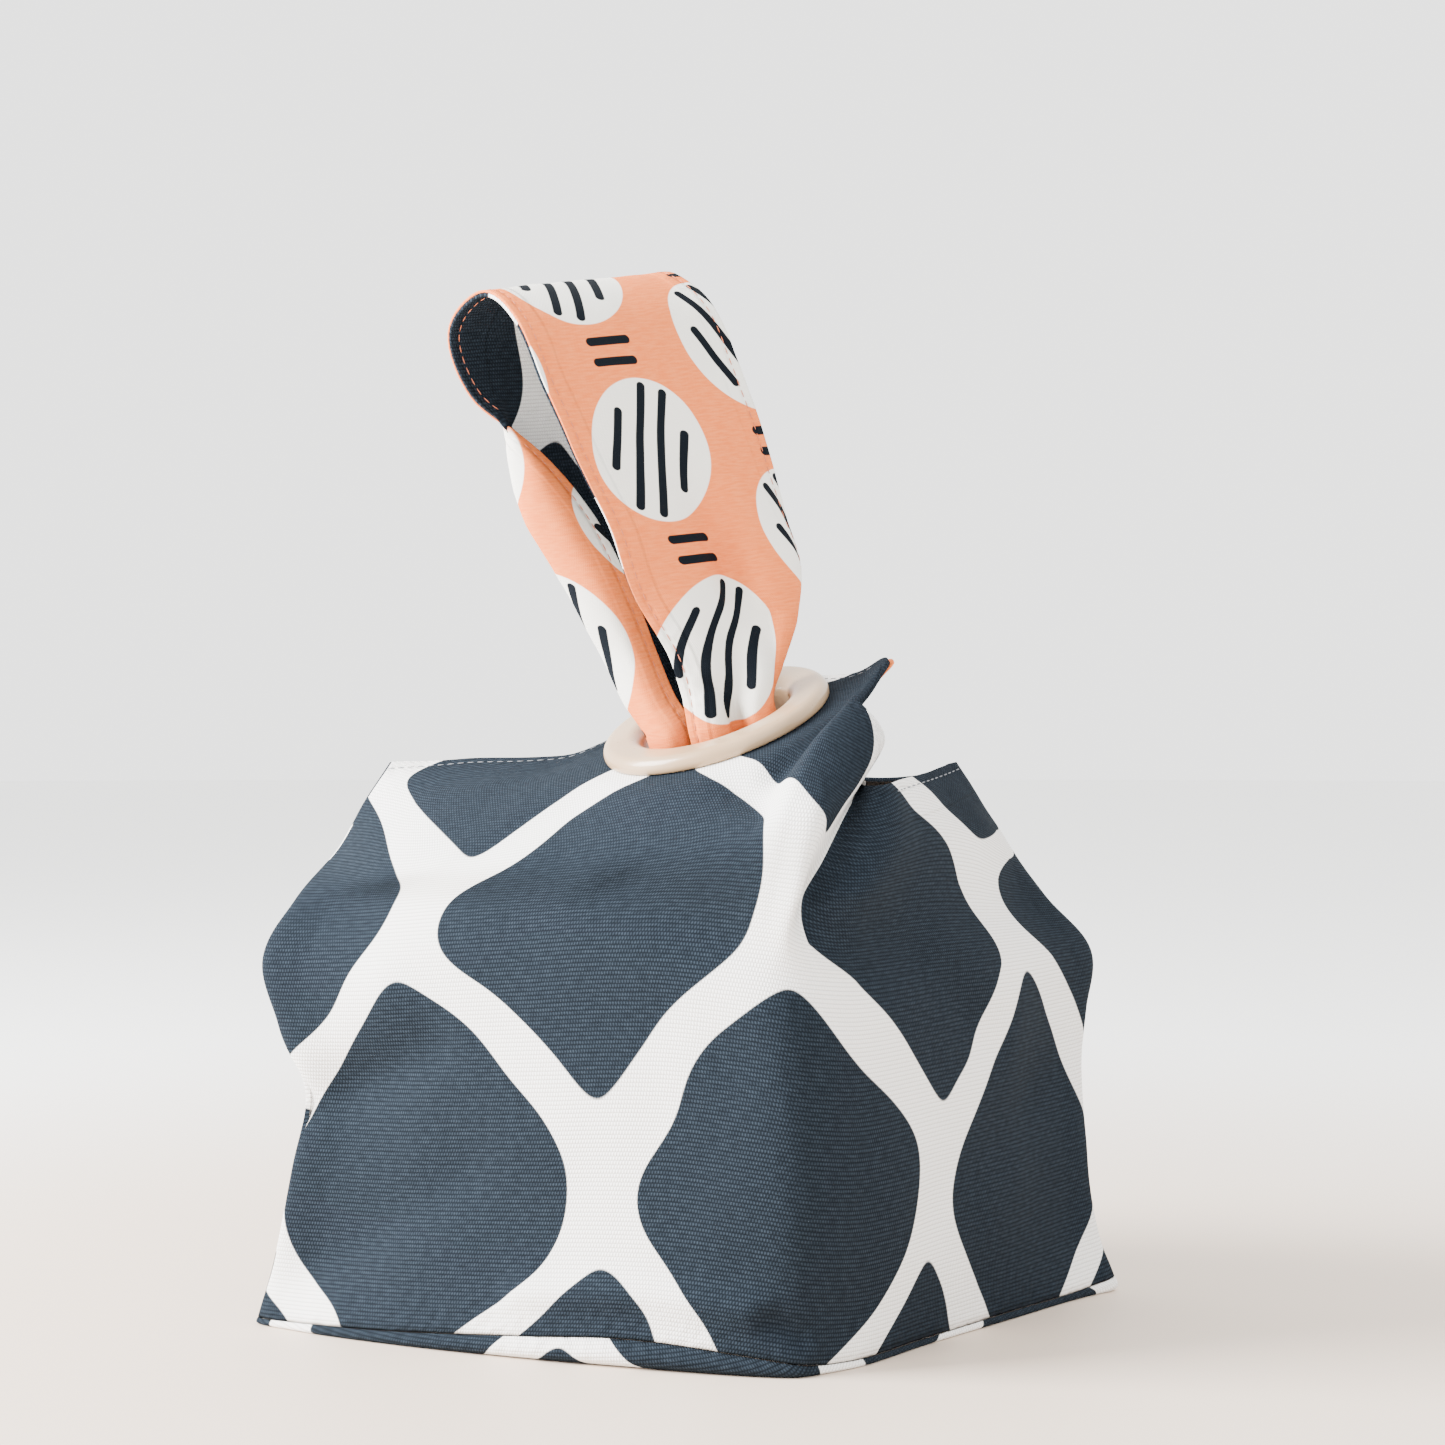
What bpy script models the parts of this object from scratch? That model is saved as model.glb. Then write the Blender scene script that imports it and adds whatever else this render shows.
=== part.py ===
"""A dumpling bag: a small boxed canvas bag whose front panel folds over the top and carries a
grommet ring, with a wide strap from the back panel pulled up through the ring as a loop.

Lengths in the tables are millimetres. The front faces -Y, the right wall +X, and the origin is
on the table under the middle of the base.
"""

import math
from collections import namedtuple

import bmesh
import bpy
import numpy as np
from mathutils import Matrix, Vector
from mathutils.geometry import delaunay_2d_cdt

MM = 0.001

# Cloth
CANVAS = 1.6  # body canvas with its seam allowances
STRAP_LAYER = 1.0  # each of the strap's two layers
LINING = 1.0
LAYER_GAP = 0.3  # between pieces that touch

# Grommet ring
RING_CENTRE = Vector((28.0, -28.0, 176.0))
RING_LEAN_FRONT = 24.0  # degrees that the ring's face tips towards the front
RING_LEAN_LEFT = 8.0
RING_OUTER = 34.5
RING_INNER = 22.5
RING_BARREL = 23.6
RING_RISE = 4.8
CLOTH_HOLE = 24.2
RING_SEGMENTS = 48

# Strap
STRAP_WIDTH = 64.0
SIDE_TURN = 28.0  # degrees from +X to the way in which the loop leans, "side" in its table

# Walls: a row for each level, with its height and the four corners in plan. The bellies are how
# far the middle of each wall stands out from the line between its corners.
Level = namedtuple("Level", "height near_left near_right far_right far_left front right back left")
WALLS = (
    Level(4.0, (-94, -87), (88, -81), (109, 83), (-92, 90), 12, -2, 2, -3),
    Level(20.0, (-89, -86), (90, -83), (104, 82), (-89, 86), 9, 1, 3, 0),
    Level(46.0, (-84, -84), (90, -84), (101, 80), (-85, 83), 5, 4, 5, 3),
    Level(68.0, (-80, -83), (89, -84), (99, 81), (-82, 82), 5, 5, 6, 4),
    Level(88.0, (-88, -84), (88, -84), (100, 82), (-88, 83), 4, 6, 5, 3),
    Level(106.0, (-95, -83), (87, -84), (102, 80), (-94, 82), 4, 6, 4, 2),
    Level(124.0, (-90, -74), (86, -83), (96, 58), (-90, 68), 7, 5, 17, 3),
)

# Where the stations lie along each wall, from its first corner, going round from the near left
FRONT_AT = (0.0, 0.09, 0.29, 0.53, 0.71, 0.79, 0.86, 0.93, 0.975)
RIGHT_AT = (0.0, 0.05, 0.34, 0.64, 0.91)
BACK_AT = (0.0, 0.09, 0.28, 0.5, 0.72, 0.91)
LEFT_AT = (0.0, 0.09, 0.36, 0.64, 0.91)
CORNER_EASE = 2.0  # how far the cloth beside a corner is drawn in from the straight
TIP_PINCH = 1.0  # and beside the tips of the base

# How high the seam of the base lies at the same stations
FRONT_SEAM = (2.2, 2.8, 4.2, 6.6, 8.2, 7.6, 6.4, 5.0, 3.6)
RIGHT_SEAM = (2.6, 2.4, 2.2, 2.6, 3.0)
BACK_SEAM = (4.6, 4.6, 4.2, 4.0, 4.4, 4.8)
LEFT_SEAM = (5.0, 4.8, 4.0, 4.0, 3.2)
FRONT_SEAM_BOW = 0.5  # its bow along the front is fuller than a sine, which is taken to this power

# The pleat in the near right corner: its depth at each level of the walls
PLEAT_DEPTH = (0, 0, 0, 0, 0, 1.5, 8)

# The top: the front and back panels fold over at the crease and meet in the hem. A row for each
# station, with its place at the crease, half way and at the hem.
Fold = namedtuple("Fold", "station crease middle hem")
TOP = (
    Fold("near left", (-87, -56, 139), (-84.5, -45, 153), (-81, -36, 165)),
    Fold("front a", (-62, -75, 135), (-60, -54, 153), (-58, -33, 166)),
    Fold("front b", (-24, -82, 138), (-25, -55, 156), (-14, -27, 168.5)),
    Fold("front c", (18, -83, 141), (13, -58, 161), (8, 6, 188)),
    Fold("front d", (48, -83, 144), (46, -60, 163), (57, -3, 191)),
    Fold("tip", (58, -83, 145), (57, -60, 162.5), (75, -11, 195.5)),
    Fold("trough", (67, -83, 147), (66, -61, 161), (74, -30, 178.5)),
    Fold("tube", (79, -83, 151), (79, -67, 169.5), (81.5, -47, 184.5)),
    Fold("tube under", (87, -79, 149), (89, -68, 157), (91, -47, 172)),
    Fold("pleat", (82, -68, 139), (83, -60, 148), (83, -46, 160)),
    Fold("right a", (92, -66, 140), (92.5, -61, 150), (91, -56, 159.5)),
    Fold("right b", (96, -33, 142), (94.5, -36, 153), (91.5, -38, 161)),
    Fold("right c", (97, 2, 143), (95, -10, 154), (91.5, -18, 163)),
    Fold("right d", (95, 25, 143), (94, 6, 155), (91, -3, 165)),
    Fold("far right", (92, 36, 142), (92, 16, 155), (90, 4, 165.5)),
    Fold("back a", (76, 60, 138), (76, 37, 151), (72, 16, 161)),
    Fold("back b", (45, 76, 140), (42, 50, 153), (38, 26, 161.5)),
    Fold("back c", (0, 80, 142), (5, 50, 157), (8, 27, 166)),
    Fold("back d", (-45, 78, 141), (-38, 50, 156), (-26, 28, 166)),
    Fold("back e", (-74, 68, 138), (-70, 46, 154), (-60, 30, 165)),
    Fold("far left", (-88, 52, 140), (-86, 38, 153), (-82, 26, 164)),
    Fold("left a", (-89, 40, 141), (-87, 29, 152), (-83.5, 18, 161)),
    Fold("left b", (-91, 16, 142), (-89, 10, 151), (-85, 6, 158)),
    Fold("left c", (-91, -18, 141), (-89, -16, 151), (-85, -14, 158)),
    Fold("left d", (-89, -44, 140), (-86.5, -37, 152), (-83, -30, 162.5)),
)

STRIPS_ROUND = 3  # faces between two stations
STRIPS_UP = (1, 2, 2, 2, 2, 2, 2, 3, 4)  # and between two levels

# The strap: a row for each section of its loop, up through the ring, over the top and back down.
# "side", "near" and "height" are from the ring's centre. "turn" is where its width points in plan,
# "slope" how it rises to the right, "pitch" how its folds tip up at the back. "close" is 0 where
# the strap is flat, 1 where its edges curl and 2 where it is gathered as in the ring.
Section = namedtuple("Section", "side near height turn slope pitch width close limb")
STRAP = (
    Section(6, -46, -16, 10, 0.00, 90, 0.90, 0.4, "front"),
    Section(6, -30, -17, 16, 0.00, 85, 0.75, 1.2, "front"),
    Section(5, -15, -17, 22, 0.05, 75, 0.60, 1.7, "front"),
    Section(3, -4, -15, 26, 0.20, 45, 0.50, 2.0, "front"),
    Section(1.5, -1.5, -6, 28, 0.31, 18, 0.50, 2.0, "front"),
    Section(-1, 1, 4, 28, 0.31, 17, 0.60, 2.0, "front"),
    Section(1, 3, 13, 30, 0.28, 12, 0.80, 1.8, "front"),
    Section(2.5, 5, 23, 36, 0.20, 6, 0.95, 1.5, "front"),
    Section(1.5, 9, 40, 46, 0.14, 0, 1.03, 1.0, "front"),
    Section(-5, 13, 60, 54, 0.10, 0, 1.03, 0.6, "front"),
    Section(-13, 16, 80, 60, 0.12, 0, 1.05, 0.2, "front"),
    Section(-21, 16, 100, 63, 0.13, 0, 1.05, 0.0, "front"),
    Section(-30, 12.5, 120, 63, 0.15, 0, 1.03, 0.0, "front"),
    Section(-42, 0, 129.5, 63, 0.16, 0, 1.0, 0.0, "front"),
    Section(-52, -13, 119, 63, 0.15, 0, 1.0, 0.0, "back"),
    Section(-50, -18, 100, 63, 0.12, 0, 1.0, 0.2, "back"),
    Section(-41, -19, 83, 62, 0.10, 0, 1.0, 0.7, "back"),
    Section(-30, -17, 64, 58, 0.08, 0, 1.0, 1.0, "back"),
    Section(-18, -13, 44, 50, 0.10, 3, 1.0, 1.2, "back"),
    Section(-10, -8, 25, 38, 0.20, 8, 0.9, 1.6, "back"),
    Section(-6, -3, 13, 31, 0.28, 14, 0.7, 1.85, "back"),
    Section(-1.5, 1, 4, 28, 0.31, 17, 0.6, 2.0, "back"),
    Section(1, -1.5, -5, 28, 0.31, 18, 0.5, 2.0, "back"),
)
# Sections of the strap as (across, away), at even steps of its width: curled half way up and
# gathered in the ring
CURLED = {
    "front": ((-27, -2), (-16, -3.5), (-5, -2), (3, 2.5), (12, -4.5), (22, -3), (25, 5)),
    "back": ((-15, -11), (-26, -11), (-32, -2), (-23, 4), (-10, 4), (6, 2), (22, 0)),
}
GATHERED = {
    "front": ((-7, -12.5), (1, -16.5), (6, -11), (12, -15.5), (18.3, -8), (13, 0), (3, -3)),
    "back": ((-6, -7), (-12.3, -12), (-18.6, -5), (-16.5, 6), (-5, 13), (5, 9), (13, 11.5)),
}
# Rows of the back panel, counted from its hem, that the strap is sewn under, and how far below
# the panel it lies there
Root = namedtuple("Root", "row below")
ROOTS = (Root(-3, 0.8), Root(-2, 0.9), Root(-1, 1.4))
STRIPS_ACROSS = 2
STRIPS_ALONG = 2

# The base panel swells out under its seam and turns in to lie flat, both as shares of the seam's
# height there
BASE_BULGE = 0.4
BASE_TURN_IN = 0.5
BASE_STEPS = 4
BASE_CUT_BACK = 0.75  # how much lower its edge is on the inside, clear of the leaning walls
BASE_CELL = 9.0  # between the places where its slack is set
BASE_SLACK = 0.25

FABRIC_CANVAS = (0.055, 0.075, 0.105, 1.0)
FABRIC_PRINT = (0.86, 0.42, 0.26, 1.0)
RING_IVORY = (0.66, 0.57, 0.48, 1.0)


def clear_scene():
    for item in list(bpy.data.objects):
        bpy.data.objects.remove(item)


def new_collection(name):
    group = bpy.data.collections.new(name)
    bpy.context.scene.collection.children.link(group)
    return group


def plain_material(name, colour, roughness):
    material = bpy.data.materials.new(name)
    material.use_nodes = True
    shader = material.node_tree.nodes["Principled BSDF"]
    shader.inputs["Base Color"].default_value = colour
    shader.inputs["Roughness"].default_value = roughness
    shader.inputs["Metallic"].default_value = 0.0
    return material


def slopes(values, places, closed):
    """The slope at each place of a curve through the values, from its neighbours on both sides."""
    gaps = np.diff(places)
    steps = np.diff(values, axis=0)
    if closed:
        steps = np.concatenate([steps, values[:1] - values[-1:]])
        gaps = np.append(gaps, gaps.mean())
        before = np.roll(steps, 1, axis=0)
        gap_before = np.roll(gaps, 1)
        gap_after = gaps
        after = steps
    else:
        before = np.concatenate([steps[:1], steps])
        after = np.concatenate([steps, steps[-1:]])
        gap_before = np.append(gaps[:1], gaps)
        gap_after = np.append(gaps, gaps[-1:])
    shape = (-1,) + (1,) * (values.ndim - 1)
    gap_before = gap_before.reshape(shape)
    gap_after = gap_after.reshape(shape)
    rates = before / gap_before * gap_after + after / gap_after * gap_before
    return rates / (gap_before + gap_after)


def through(values, counts, closed=False):
    """Points on a smooth curve through the values, with a count of steps after each of them."""
    values = np.asarray(values, float)
    follower = np.roll(values, -1, axis=0)
    spans = np.linalg.norm(follower - values, axis=-1)
    spans = spans.reshape(len(values), -1).mean(axis=1)
    places = np.concatenate([[0.0], np.cumsum(spans[:-1])])
    rates = slopes(values, places, closed)
    last = len(values) if closed else len(values) - 1
    found = []
    for i in range(last):
        j = (i + 1) % len(values)
        span = spans[i]
        for step in range(counts[i]):
            t = step / counts[i]
            found.append(
                (2 * t**3 - 3 * t**2 + 1) * values[i]
                + (t**3 - 2 * t**2 + t) * span * rates[i]
                + (3 * t**2 - 2 * t**3) * values[j]
                + (t**3 - t**2) * span * rates[j]
            )
    if not closed:
        found.append(values[-1])
    return np.array(found)


def wall_row(level, depth):
    """The stations round the walls at one level."""
    seam = level is WALLS[0]
    corners = [level.near_left, level.near_right, level.far_right, level.far_left]
    bellies = [level.front, level.right, level.back, level.left]
    stations = (FRONT_AT, RIGHT_AT, BACK_AT, LEFT_AT)
    heights = (FRONT_SEAM, RIGHT_SEAM, BACK_SEAM, LEFT_SEAM)
    ease = TIP_PINCH if seam else CORNER_EASE
    row = []
    for side, places in enumerate(stations):
        start = np.array(corners[side], float)
        end = np.array(corners[(side + 1) % 4], float)
        along = end - start
        out = np.array((along[1], -along[0])) / np.linalg.norm(along)
        power = FRONT_SEAM_BOW if seam and side == 0 else 1.0
        for at, seam_height in zip(places, heights[side]):
            bulge = bellies[side] * math.sin(math.pi * at) ** power
            drawn = ease if at in (0.09, 0.91) else 0.0
            point = start + along * at + out * (bulge - drawn)
            row.append([point[0], point[1], seam_height if seam else level.height])
    pleat = len(FRONT_AT)
    inward = np.array((-0.75, 0.66, 0.0))
    row[pleat] = list(np.array(row[pleat]) + inward * (depth + 3.0))
    return row


def body_net():
    rows = [wall_row(level, depth) for level, depth in zip(WALLS, PLEAT_DEPTH)]
    for line in ("crease", "middle", "hem"):
        rows.append([list(getattr(fold, line)) for fold in TOP])
    return np.array(rows, float)


def ring_normal():
    return Vector(
        (-math.tan(math.radians(RING_LEAN_LEFT)), -math.tan(math.radians(RING_LEAN_FRONT)), 1.0)
    ).normalized()


def flattened(points, near=RING_OUTER + 4.0, far=53.0):
    """The surface drawn flat where the ring clamps it, easing off further out."""
    centre = np.array(RING_CENTRE)
    normal = np.array(ring_normal())
    offset = points - centre
    height = offset @ normal
    reach = np.linalg.norm(offset - height[..., None] * normal, axis=-1)
    hold = np.clip((far - reach) / (far - near), 0.0, 1.0)
    hold = hold * hold * (3 - 2 * hold)
    hold = np.where((np.abs(height) < 30) & (points[..., 2] > 150), hold, 0.0)
    return points - (hold * height)[..., None] * normal


def body_surface():
    net = body_net()
    up = through(net, STRIPS_UP)
    round_it = through(up.transpose(1, 0, 2), (STRIPS_ROUND,) * net.shape[1], closed=True)
    return flattened(round_it.transpose(1, 0, 2))


def grid_object(name, points, closed, material, group):
    """A sheet over a grid of points, its columns wrapped round when it is closed."""
    rows, columns = points.shape[:2]
    mesh = bpy.data.meshes.new(name)
    bm = bmesh.new()
    corners = [[bm.verts.new(Vector(p) * MM) for p in row] for row in points]
    for i in range(rows - 1):
        for j in range(columns if closed else columns - 1):
            k = (j + 1) % columns
            bm.faces.new((corners[i][j], corners[i][k], corners[i + 1][k], corners[i + 1][j]))
    for face in bm.faces:
        face.smooth = True
    bm.to_mesh(mesh)
    bm.free()
    mesh.materials.append(material)
    sheet = bpy.data.objects.new(name, mesh)
    group.objects.link(sheet)
    return sheet


def thicken(sheet, thickness, offset=-1.0):
    solid = sheet.modifiers.new("Thickness", "SOLIDIFY")
    solid.thickness = thickness * MM
    solid.offset = offset
    return solid


def cut_hole(sheet, cutter):
    cut = sheet.modifiers.new("Ring hole", "BOOLEAN")
    cut.operation = "DIFFERENCE"
    cut.solver = "EXACT"
    cut.object = cutter


def grid_normals(points, closed):
    """Unit normals of a grid of points, on the side that its faces show."""
    if closed:
        across = np.roll(points, -1, axis=1) - np.roll(points, 1, axis=1)
    else:
        across = np.gradient(points, axis=1)
    along = np.gradient(points, axis=0)
    normals = np.cross(across, along)
    return normals / np.linalg.norm(normals, axis=-1, keepdims=True)


def slack_points(outline):
    """Places in even rows all over the base, a little inside its outline."""
    middle = outline.mean(axis=0)
    offset = outline - middle
    bearing = np.arctan2(offset[:, 1], offset[:, 0])
    order = np.argsort(bearing)
    reach = np.linalg.norm(offset[order, :2], axis=1)
    count = int(110 / BASE_CELL) + 2
    points = []
    for row in range(-count, count + 1):
        for column in range(-count, count + 1):
            x = (column + row % 2 / 2 + 0.4) * BASE_CELL
            y = (row + 0.3) * BASE_CELL * math.sqrt(0.75)
            dx, dy = x - middle[0], y - middle[1]
            limit = np.interp(math.atan2(dy, dx), bearing[order], reach, period=math.tau)
            if math.hypot(dx, dy) < limit - 0.7 * BASE_CELL:
                points.append((x, y))
    return points


def slack(place):
    """How far the base stands off the table at a place, nothing in its middle."""
    if place.length < 1.5 * BASE_CELL:
        return 0.0
    return BASE_SLACK * (math.sin(place.x * 1.3 + place.y * 0.7) + 1) / 2


def fill_floor(bm, level, points, down):
    """Closes the loop of open edges at a height, over places that each have their slack."""
    low, high = (level - 0.001) * MM, (level + 0.001) * MM
    seam = [e for e in bm.edges if e.is_boundary and all(low < v.co.z < high for v in e.verts)]
    outline = list({v for e in seam for v in e.verts})
    number = {vert: i for i, vert in enumerate(outline)}
    sides = [(number[e.verts[0]], number[e.verts[1]]) for e in seam]
    places = [v.co.xy for v in outline] + [Vector(point) * MM for point in points]
    found = delaunay_2d_cdt(places, sides, [], 1, 1e-7)
    verts = []
    for place, origins in zip(found[0], found[3]):
        if origins[0] < len(outline):
            verts.append(outline[origins[0]])
        else:
            verts.append(bm.verts.new((*place, (level + slack(place / MM)) * MM)))
    for corners in found[2]:
        face = bm.faces.new([verts[i] for i in corners])
        face.normal_update()
        if (face.normal.z > 0) == down:
            face.normal_flip()


def build_base(rim, material, group):
    """The base panel: flat on the table in the middle, curling up to the wall's seam."""
    outward = rim * (1, 1, 0)
    outward /= np.linalg.norm(outward, axis=1, keepdims=True)
    height = rim[:, 2:] - LAYER_GAP
    outer = []
    inner = []
    for step in range(BASE_STEPS + 1):
        bend = math.radians(90) * step / BASE_STEPS
        swell = BASE_BULGE * math.sin(2 * bend)
        turned = BASE_TURN_IN * (1 - math.sin(bend)) * height
        loop = rim + outward * (swell * height - turned)
        loop[:, 2] = height[:, 0] * (1 - math.cos(bend))
        outer.append(loop)
        roomy = np.maximum(height - 2 * CANVAS, 0.0)
        lining = rim + outward * (swell * roomy - turned - CANVAS)
        lining[:, 2] = CANVAS + (height[:, 0] - CANVAS - BASE_CUT_BACK) * (1 - math.cos(bend))
        inner.append(lining)
    panel = grid_object("base_panel", np.array(outer + inner[::-1]), True, material, group)
    points = slack_points(inner[0])
    bm = bmesh.new()
    bm.from_mesh(panel.data)
    fill_floor(bm, 0.0, points, down=True)
    fill_floor(bm, CANVAS, points, down=False)
    bm.to_mesh(panel.data)
    bm.free()


def strap_section(row):
    """The points across the strap at one section of its loop."""
    side = math.radians(SIDE_TURN)
    centre = np.array(RING_CENTRE) + np.array(
        (
            row.side * math.cos(side) + row.near * math.sin(side),
            row.side * math.sin(side) - row.near * math.cos(side),
            row.height,
        )
    )
    turn = math.radians(row.turn)
    pitch = math.radians(row.pitch)
    across = np.array((math.cos(turn), math.sin(turn), row.slope))
    away = np.array((-math.sin(turn) * math.cos(pitch), math.cos(turn) * math.cos(pitch), math.sin(pitch)))
    curled = np.array(CURLED[row.limb], float)
    gathered = np.array(GATHERED[row.limb], float)
    flat = np.zeros(curled.shape)
    flat[:, 0] = np.linspace(-0.5, 0.5, len(flat)) * STRAP_WIDTH * row.width
    if row.close < 1:
        folds = flat * (1 - row.close) + curled * row.close
    else:
        folds = curled * (2 - row.close) + gathered * (row.close - 1)
    return [centre + across * a + away * d for a, d in folds]


def strap_points(surface, normals):
    """The strap's middle surface, from under the back panel's hem, round its loop to its end."""
    depth = CANVAS + STRAP_LAYER + LAYER_GAP / 2
    names = [fold.station for fold in TOP]
    left = names.index("back d") * STRIPS_ROUND
    right = names.index("back b") * STRIPS_ROUND
    columns = range(left, right - 1, -1)
    sections = []
    for root in ROOTS:
        drop = depth + root.below
        sections.append([surface[root.row, c] - normals[root.row, c] * drop for c in columns])
    sections += [strap_section(row) for row in STRAP]
    net = np.array(sections)
    along = through(net, (STRIPS_ALONG,) * (len(net) - 1))
    crossed = through(along.transpose(1, 0, 2), (STRIPS_ACROSS,) * (net.shape[1] - 1))
    return crossed.transpose(1, 0, 2)


def turned(name, profile, material, group):
    """A ring turned from a closed profile of (radius, height), seated on the flap."""
    mesh = bpy.data.meshes.new(name)
    count = len(profile)
    mesh.from_pydata(
        [(r * MM, 0.0, h * MM) for r, h in profile],
        [(i, (i + 1) % count) for i in range(count)],
        [],
    )
    mesh.materials.append(material)
    ring = bpy.data.objects.new(name, mesh)
    group.objects.link(ring)
    screw = ring.modifiers.new("Turn", "SCREW")
    screw.axis = "Z"
    screw.angle = math.tau
    screw.steps = RING_SEGMENTS
    screw.render_steps = RING_SEGMENTS
    screw.use_merge_vertices = True
    screw.merge_threshold = 0.00001
    screw.use_smooth_shade = True
    screw.use_normal_flip = True
    place_on_flap(ring)


def place_on_flap(item):
    lean = Vector((0, 0, 1)).rotation_difference(ring_normal())
    item.matrix_world = Matrix.Translation(RING_CENTRE * MM) @ lean.to_matrix().to_4x4()


def build_cutter(group):
    mesh = bpy.data.meshes.new("ring_hole_cutter")
    bm = bmesh.new()
    bmesh.ops.create_cone(
        bm,
        cap_ends=True,
        segments=RING_SEGMENTS,
        radius1=CLOTH_HOLE * MM,
        radius2=CLOTH_HOLE * MM,
        depth=16 * MM,
    )
    bm.to_mesh(mesh)
    bm.free()
    cutter = bpy.data.objects.new("ring_hole_cutter", mesh)
    group.objects.link(cutter)
    cutter.hide_render = True
    cutter.display_type = "WIRE"
    place_on_flap(cutter)
    return cutter


def main():
    clear_scene()
    bag = new_collection("dumpling_bag")
    cutters = new_collection("cutters")
    canvas = plain_material("printed_canvas", FABRIC_CANVAS, 0.9)
    lining = plain_material("printed_lining", FABRIC_PRINT, 0.9)
    ivory = plain_material("ivory_plastic", RING_IVORY, 0.35)
    cutter = build_cutter(cutters)

    surface = body_surface()
    body = grid_object("body_panels", surface, True, canvas, bag)
    thicken(body, CANVAS)
    cut_hole(body, cutter)

    build_base(surface[0].copy(), canvas, bag)

    normals = grid_normals(surface, True)
    first, last = 2 * STRIPS_ROUND, 5 * STRIPS_ROUND
    start = sum(STRIPS_UP[:7])
    under = surface - normals * (CANVAS + LAYER_GAP)
    facing = grid_object("flap_lining", under[start:, first : last + 1], False, lining, bag)
    thicken(facing, LINING)
    cut_hole(facing, cutter)

    strap = strap_points(surface, normals)
    outward = grid_normals(strap, False)
    half = LAYER_GAP / 2
    outer = grid_object("strap_facing", strap + outward * half, False, lining, bag)
    thicken(outer, STRAP_LAYER, offset=1.0)
    inner = grid_object("strap_canvas", strap - outward * half, False, canvas, bag)
    thicken(inner, STRAP_LAYER, offset=-1.0)

    below = -(CANVAS + LINING + 3 * LAYER_GAP)
    face = (
        (RING_OUTER, LAYER_GAP),
        (RING_OUTER, 1.6),
        (RING_OUTER - 1.4, 3.4),
        (RING_OUTER - 4.2, RING_RISE),
        (RING_OUTER - 7.5, RING_RISE),
        (RING_INNER + 1.6, 3.4),
        (RING_INNER, 1.2),
        (RING_INNER, below - 2.2),
        (RING_BARREL, below - 2.2),
        (RING_BARREL, LAYER_GAP),
    )
    turned("ring_face", face, ivory, bag)
    back = (
        (RING_BARREL + LAYER_GAP, below),
        (RING_BARREL + LAYER_GAP, below - 1.6),
        (RING_BARREL + 2.5, below - 2.8),
        (RING_OUTER - 3.0, below - 2.8),
        (RING_OUTER - 1.0, below - 1.4),
        (RING_OUTER - 1.0, below),
    )
    turned("ring_back", back, ivory, bag)


main()
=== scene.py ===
"""Dresses the dumpling bag: printed canvas body and base, lined flap, gathered strap, grommet ring
and topstitching, with the floor, light and camera.

The tables hold the same levels, folds and strap sections as the solids. Lengths are in millimetres
except in the panel, where they are in metres.
"""

import math
from functools import lru_cache

import bmesh
import bpy
import numpy as np
from mathutils import Matrix, Vector, noise


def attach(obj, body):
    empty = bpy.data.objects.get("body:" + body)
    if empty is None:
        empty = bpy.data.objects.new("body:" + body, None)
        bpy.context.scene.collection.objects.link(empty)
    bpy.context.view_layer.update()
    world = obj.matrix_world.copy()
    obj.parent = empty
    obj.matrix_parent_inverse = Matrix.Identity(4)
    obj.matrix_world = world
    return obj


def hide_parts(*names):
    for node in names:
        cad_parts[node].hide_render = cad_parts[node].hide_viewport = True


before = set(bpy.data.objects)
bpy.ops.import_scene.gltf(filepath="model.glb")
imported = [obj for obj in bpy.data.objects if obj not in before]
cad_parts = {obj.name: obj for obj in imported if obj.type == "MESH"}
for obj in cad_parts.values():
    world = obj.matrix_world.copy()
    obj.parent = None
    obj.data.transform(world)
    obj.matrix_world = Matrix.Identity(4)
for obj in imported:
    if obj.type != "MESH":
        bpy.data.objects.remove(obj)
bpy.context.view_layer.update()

bl_info = {
    "name": "Dumpling bag",
    "version": (1, 0, 0),
    "blender": (4, 5, 0),
    "location": "View3D > Sidebar > Bag",
    "description": "Builds the cloth, ring and stitching of a dumpling bag on its solids",
    "category": "Object",
}

MM = 0.001

# Thicknesses of the solids, and the gap between two that lie on each other
CANVAS = 1.6
STRAP_LAYER = 1.0
LINING = 1.0
LAYER_GAP = 0.3


def unit(vectors):
    """The vectors drawn out or in to a length of 1."""
    return vectors / np.linalg.norm(vectors, axis=-1, keepdims=True)


# Grommet ring
RING_CENTRE = np.array((28.0, -28.0, 176.0))
RING_LEAN_LEFT = math.tan(math.radians(8.0))
RING_LEAN_FRONT = math.tan(math.radians(24.0))
RING_NORMAL = unit(np.array((-RING_LEAN_LEFT, -RING_LEAN_FRONT, 1.0)))
RING_OUTER = 34.5
RING_INNER = 22.5
RING_BARREL = 23.6

# Walls: height, then in plan the near left, near right, far right and far left corners, then how
# far the front, right, back and left walls bow out
WALLS = (
    (4.0, (-94, -87), (88, -81), (109, 83), (-92, 90), 12, -2, 2, -3),
    (20.0, (-89, -86), (90, -83), (104, 82), (-89, 86), 9, 1, 3, 0),
    (46.0, (-84, -84), (90, -84), (101, 80), (-85, 83), 5, 4, 5, 3),
    (68.0, (-80, -83), (89, -84), (99, 81), (-82, 82), 5, 5, 6, 4),
    (88.0, (-88, -84), (88, -84), (100, 82), (-88, 83), 4, 6, 5, 3),
    (106.0, (-95, -83), (87, -84), (102, 80), (-94, 82), 4, 6, 4, 2),
    (124.0, (-90, -74), (86, -83), (96, 58), (-90, 68), 7, 5, 17, 3),
)
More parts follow.
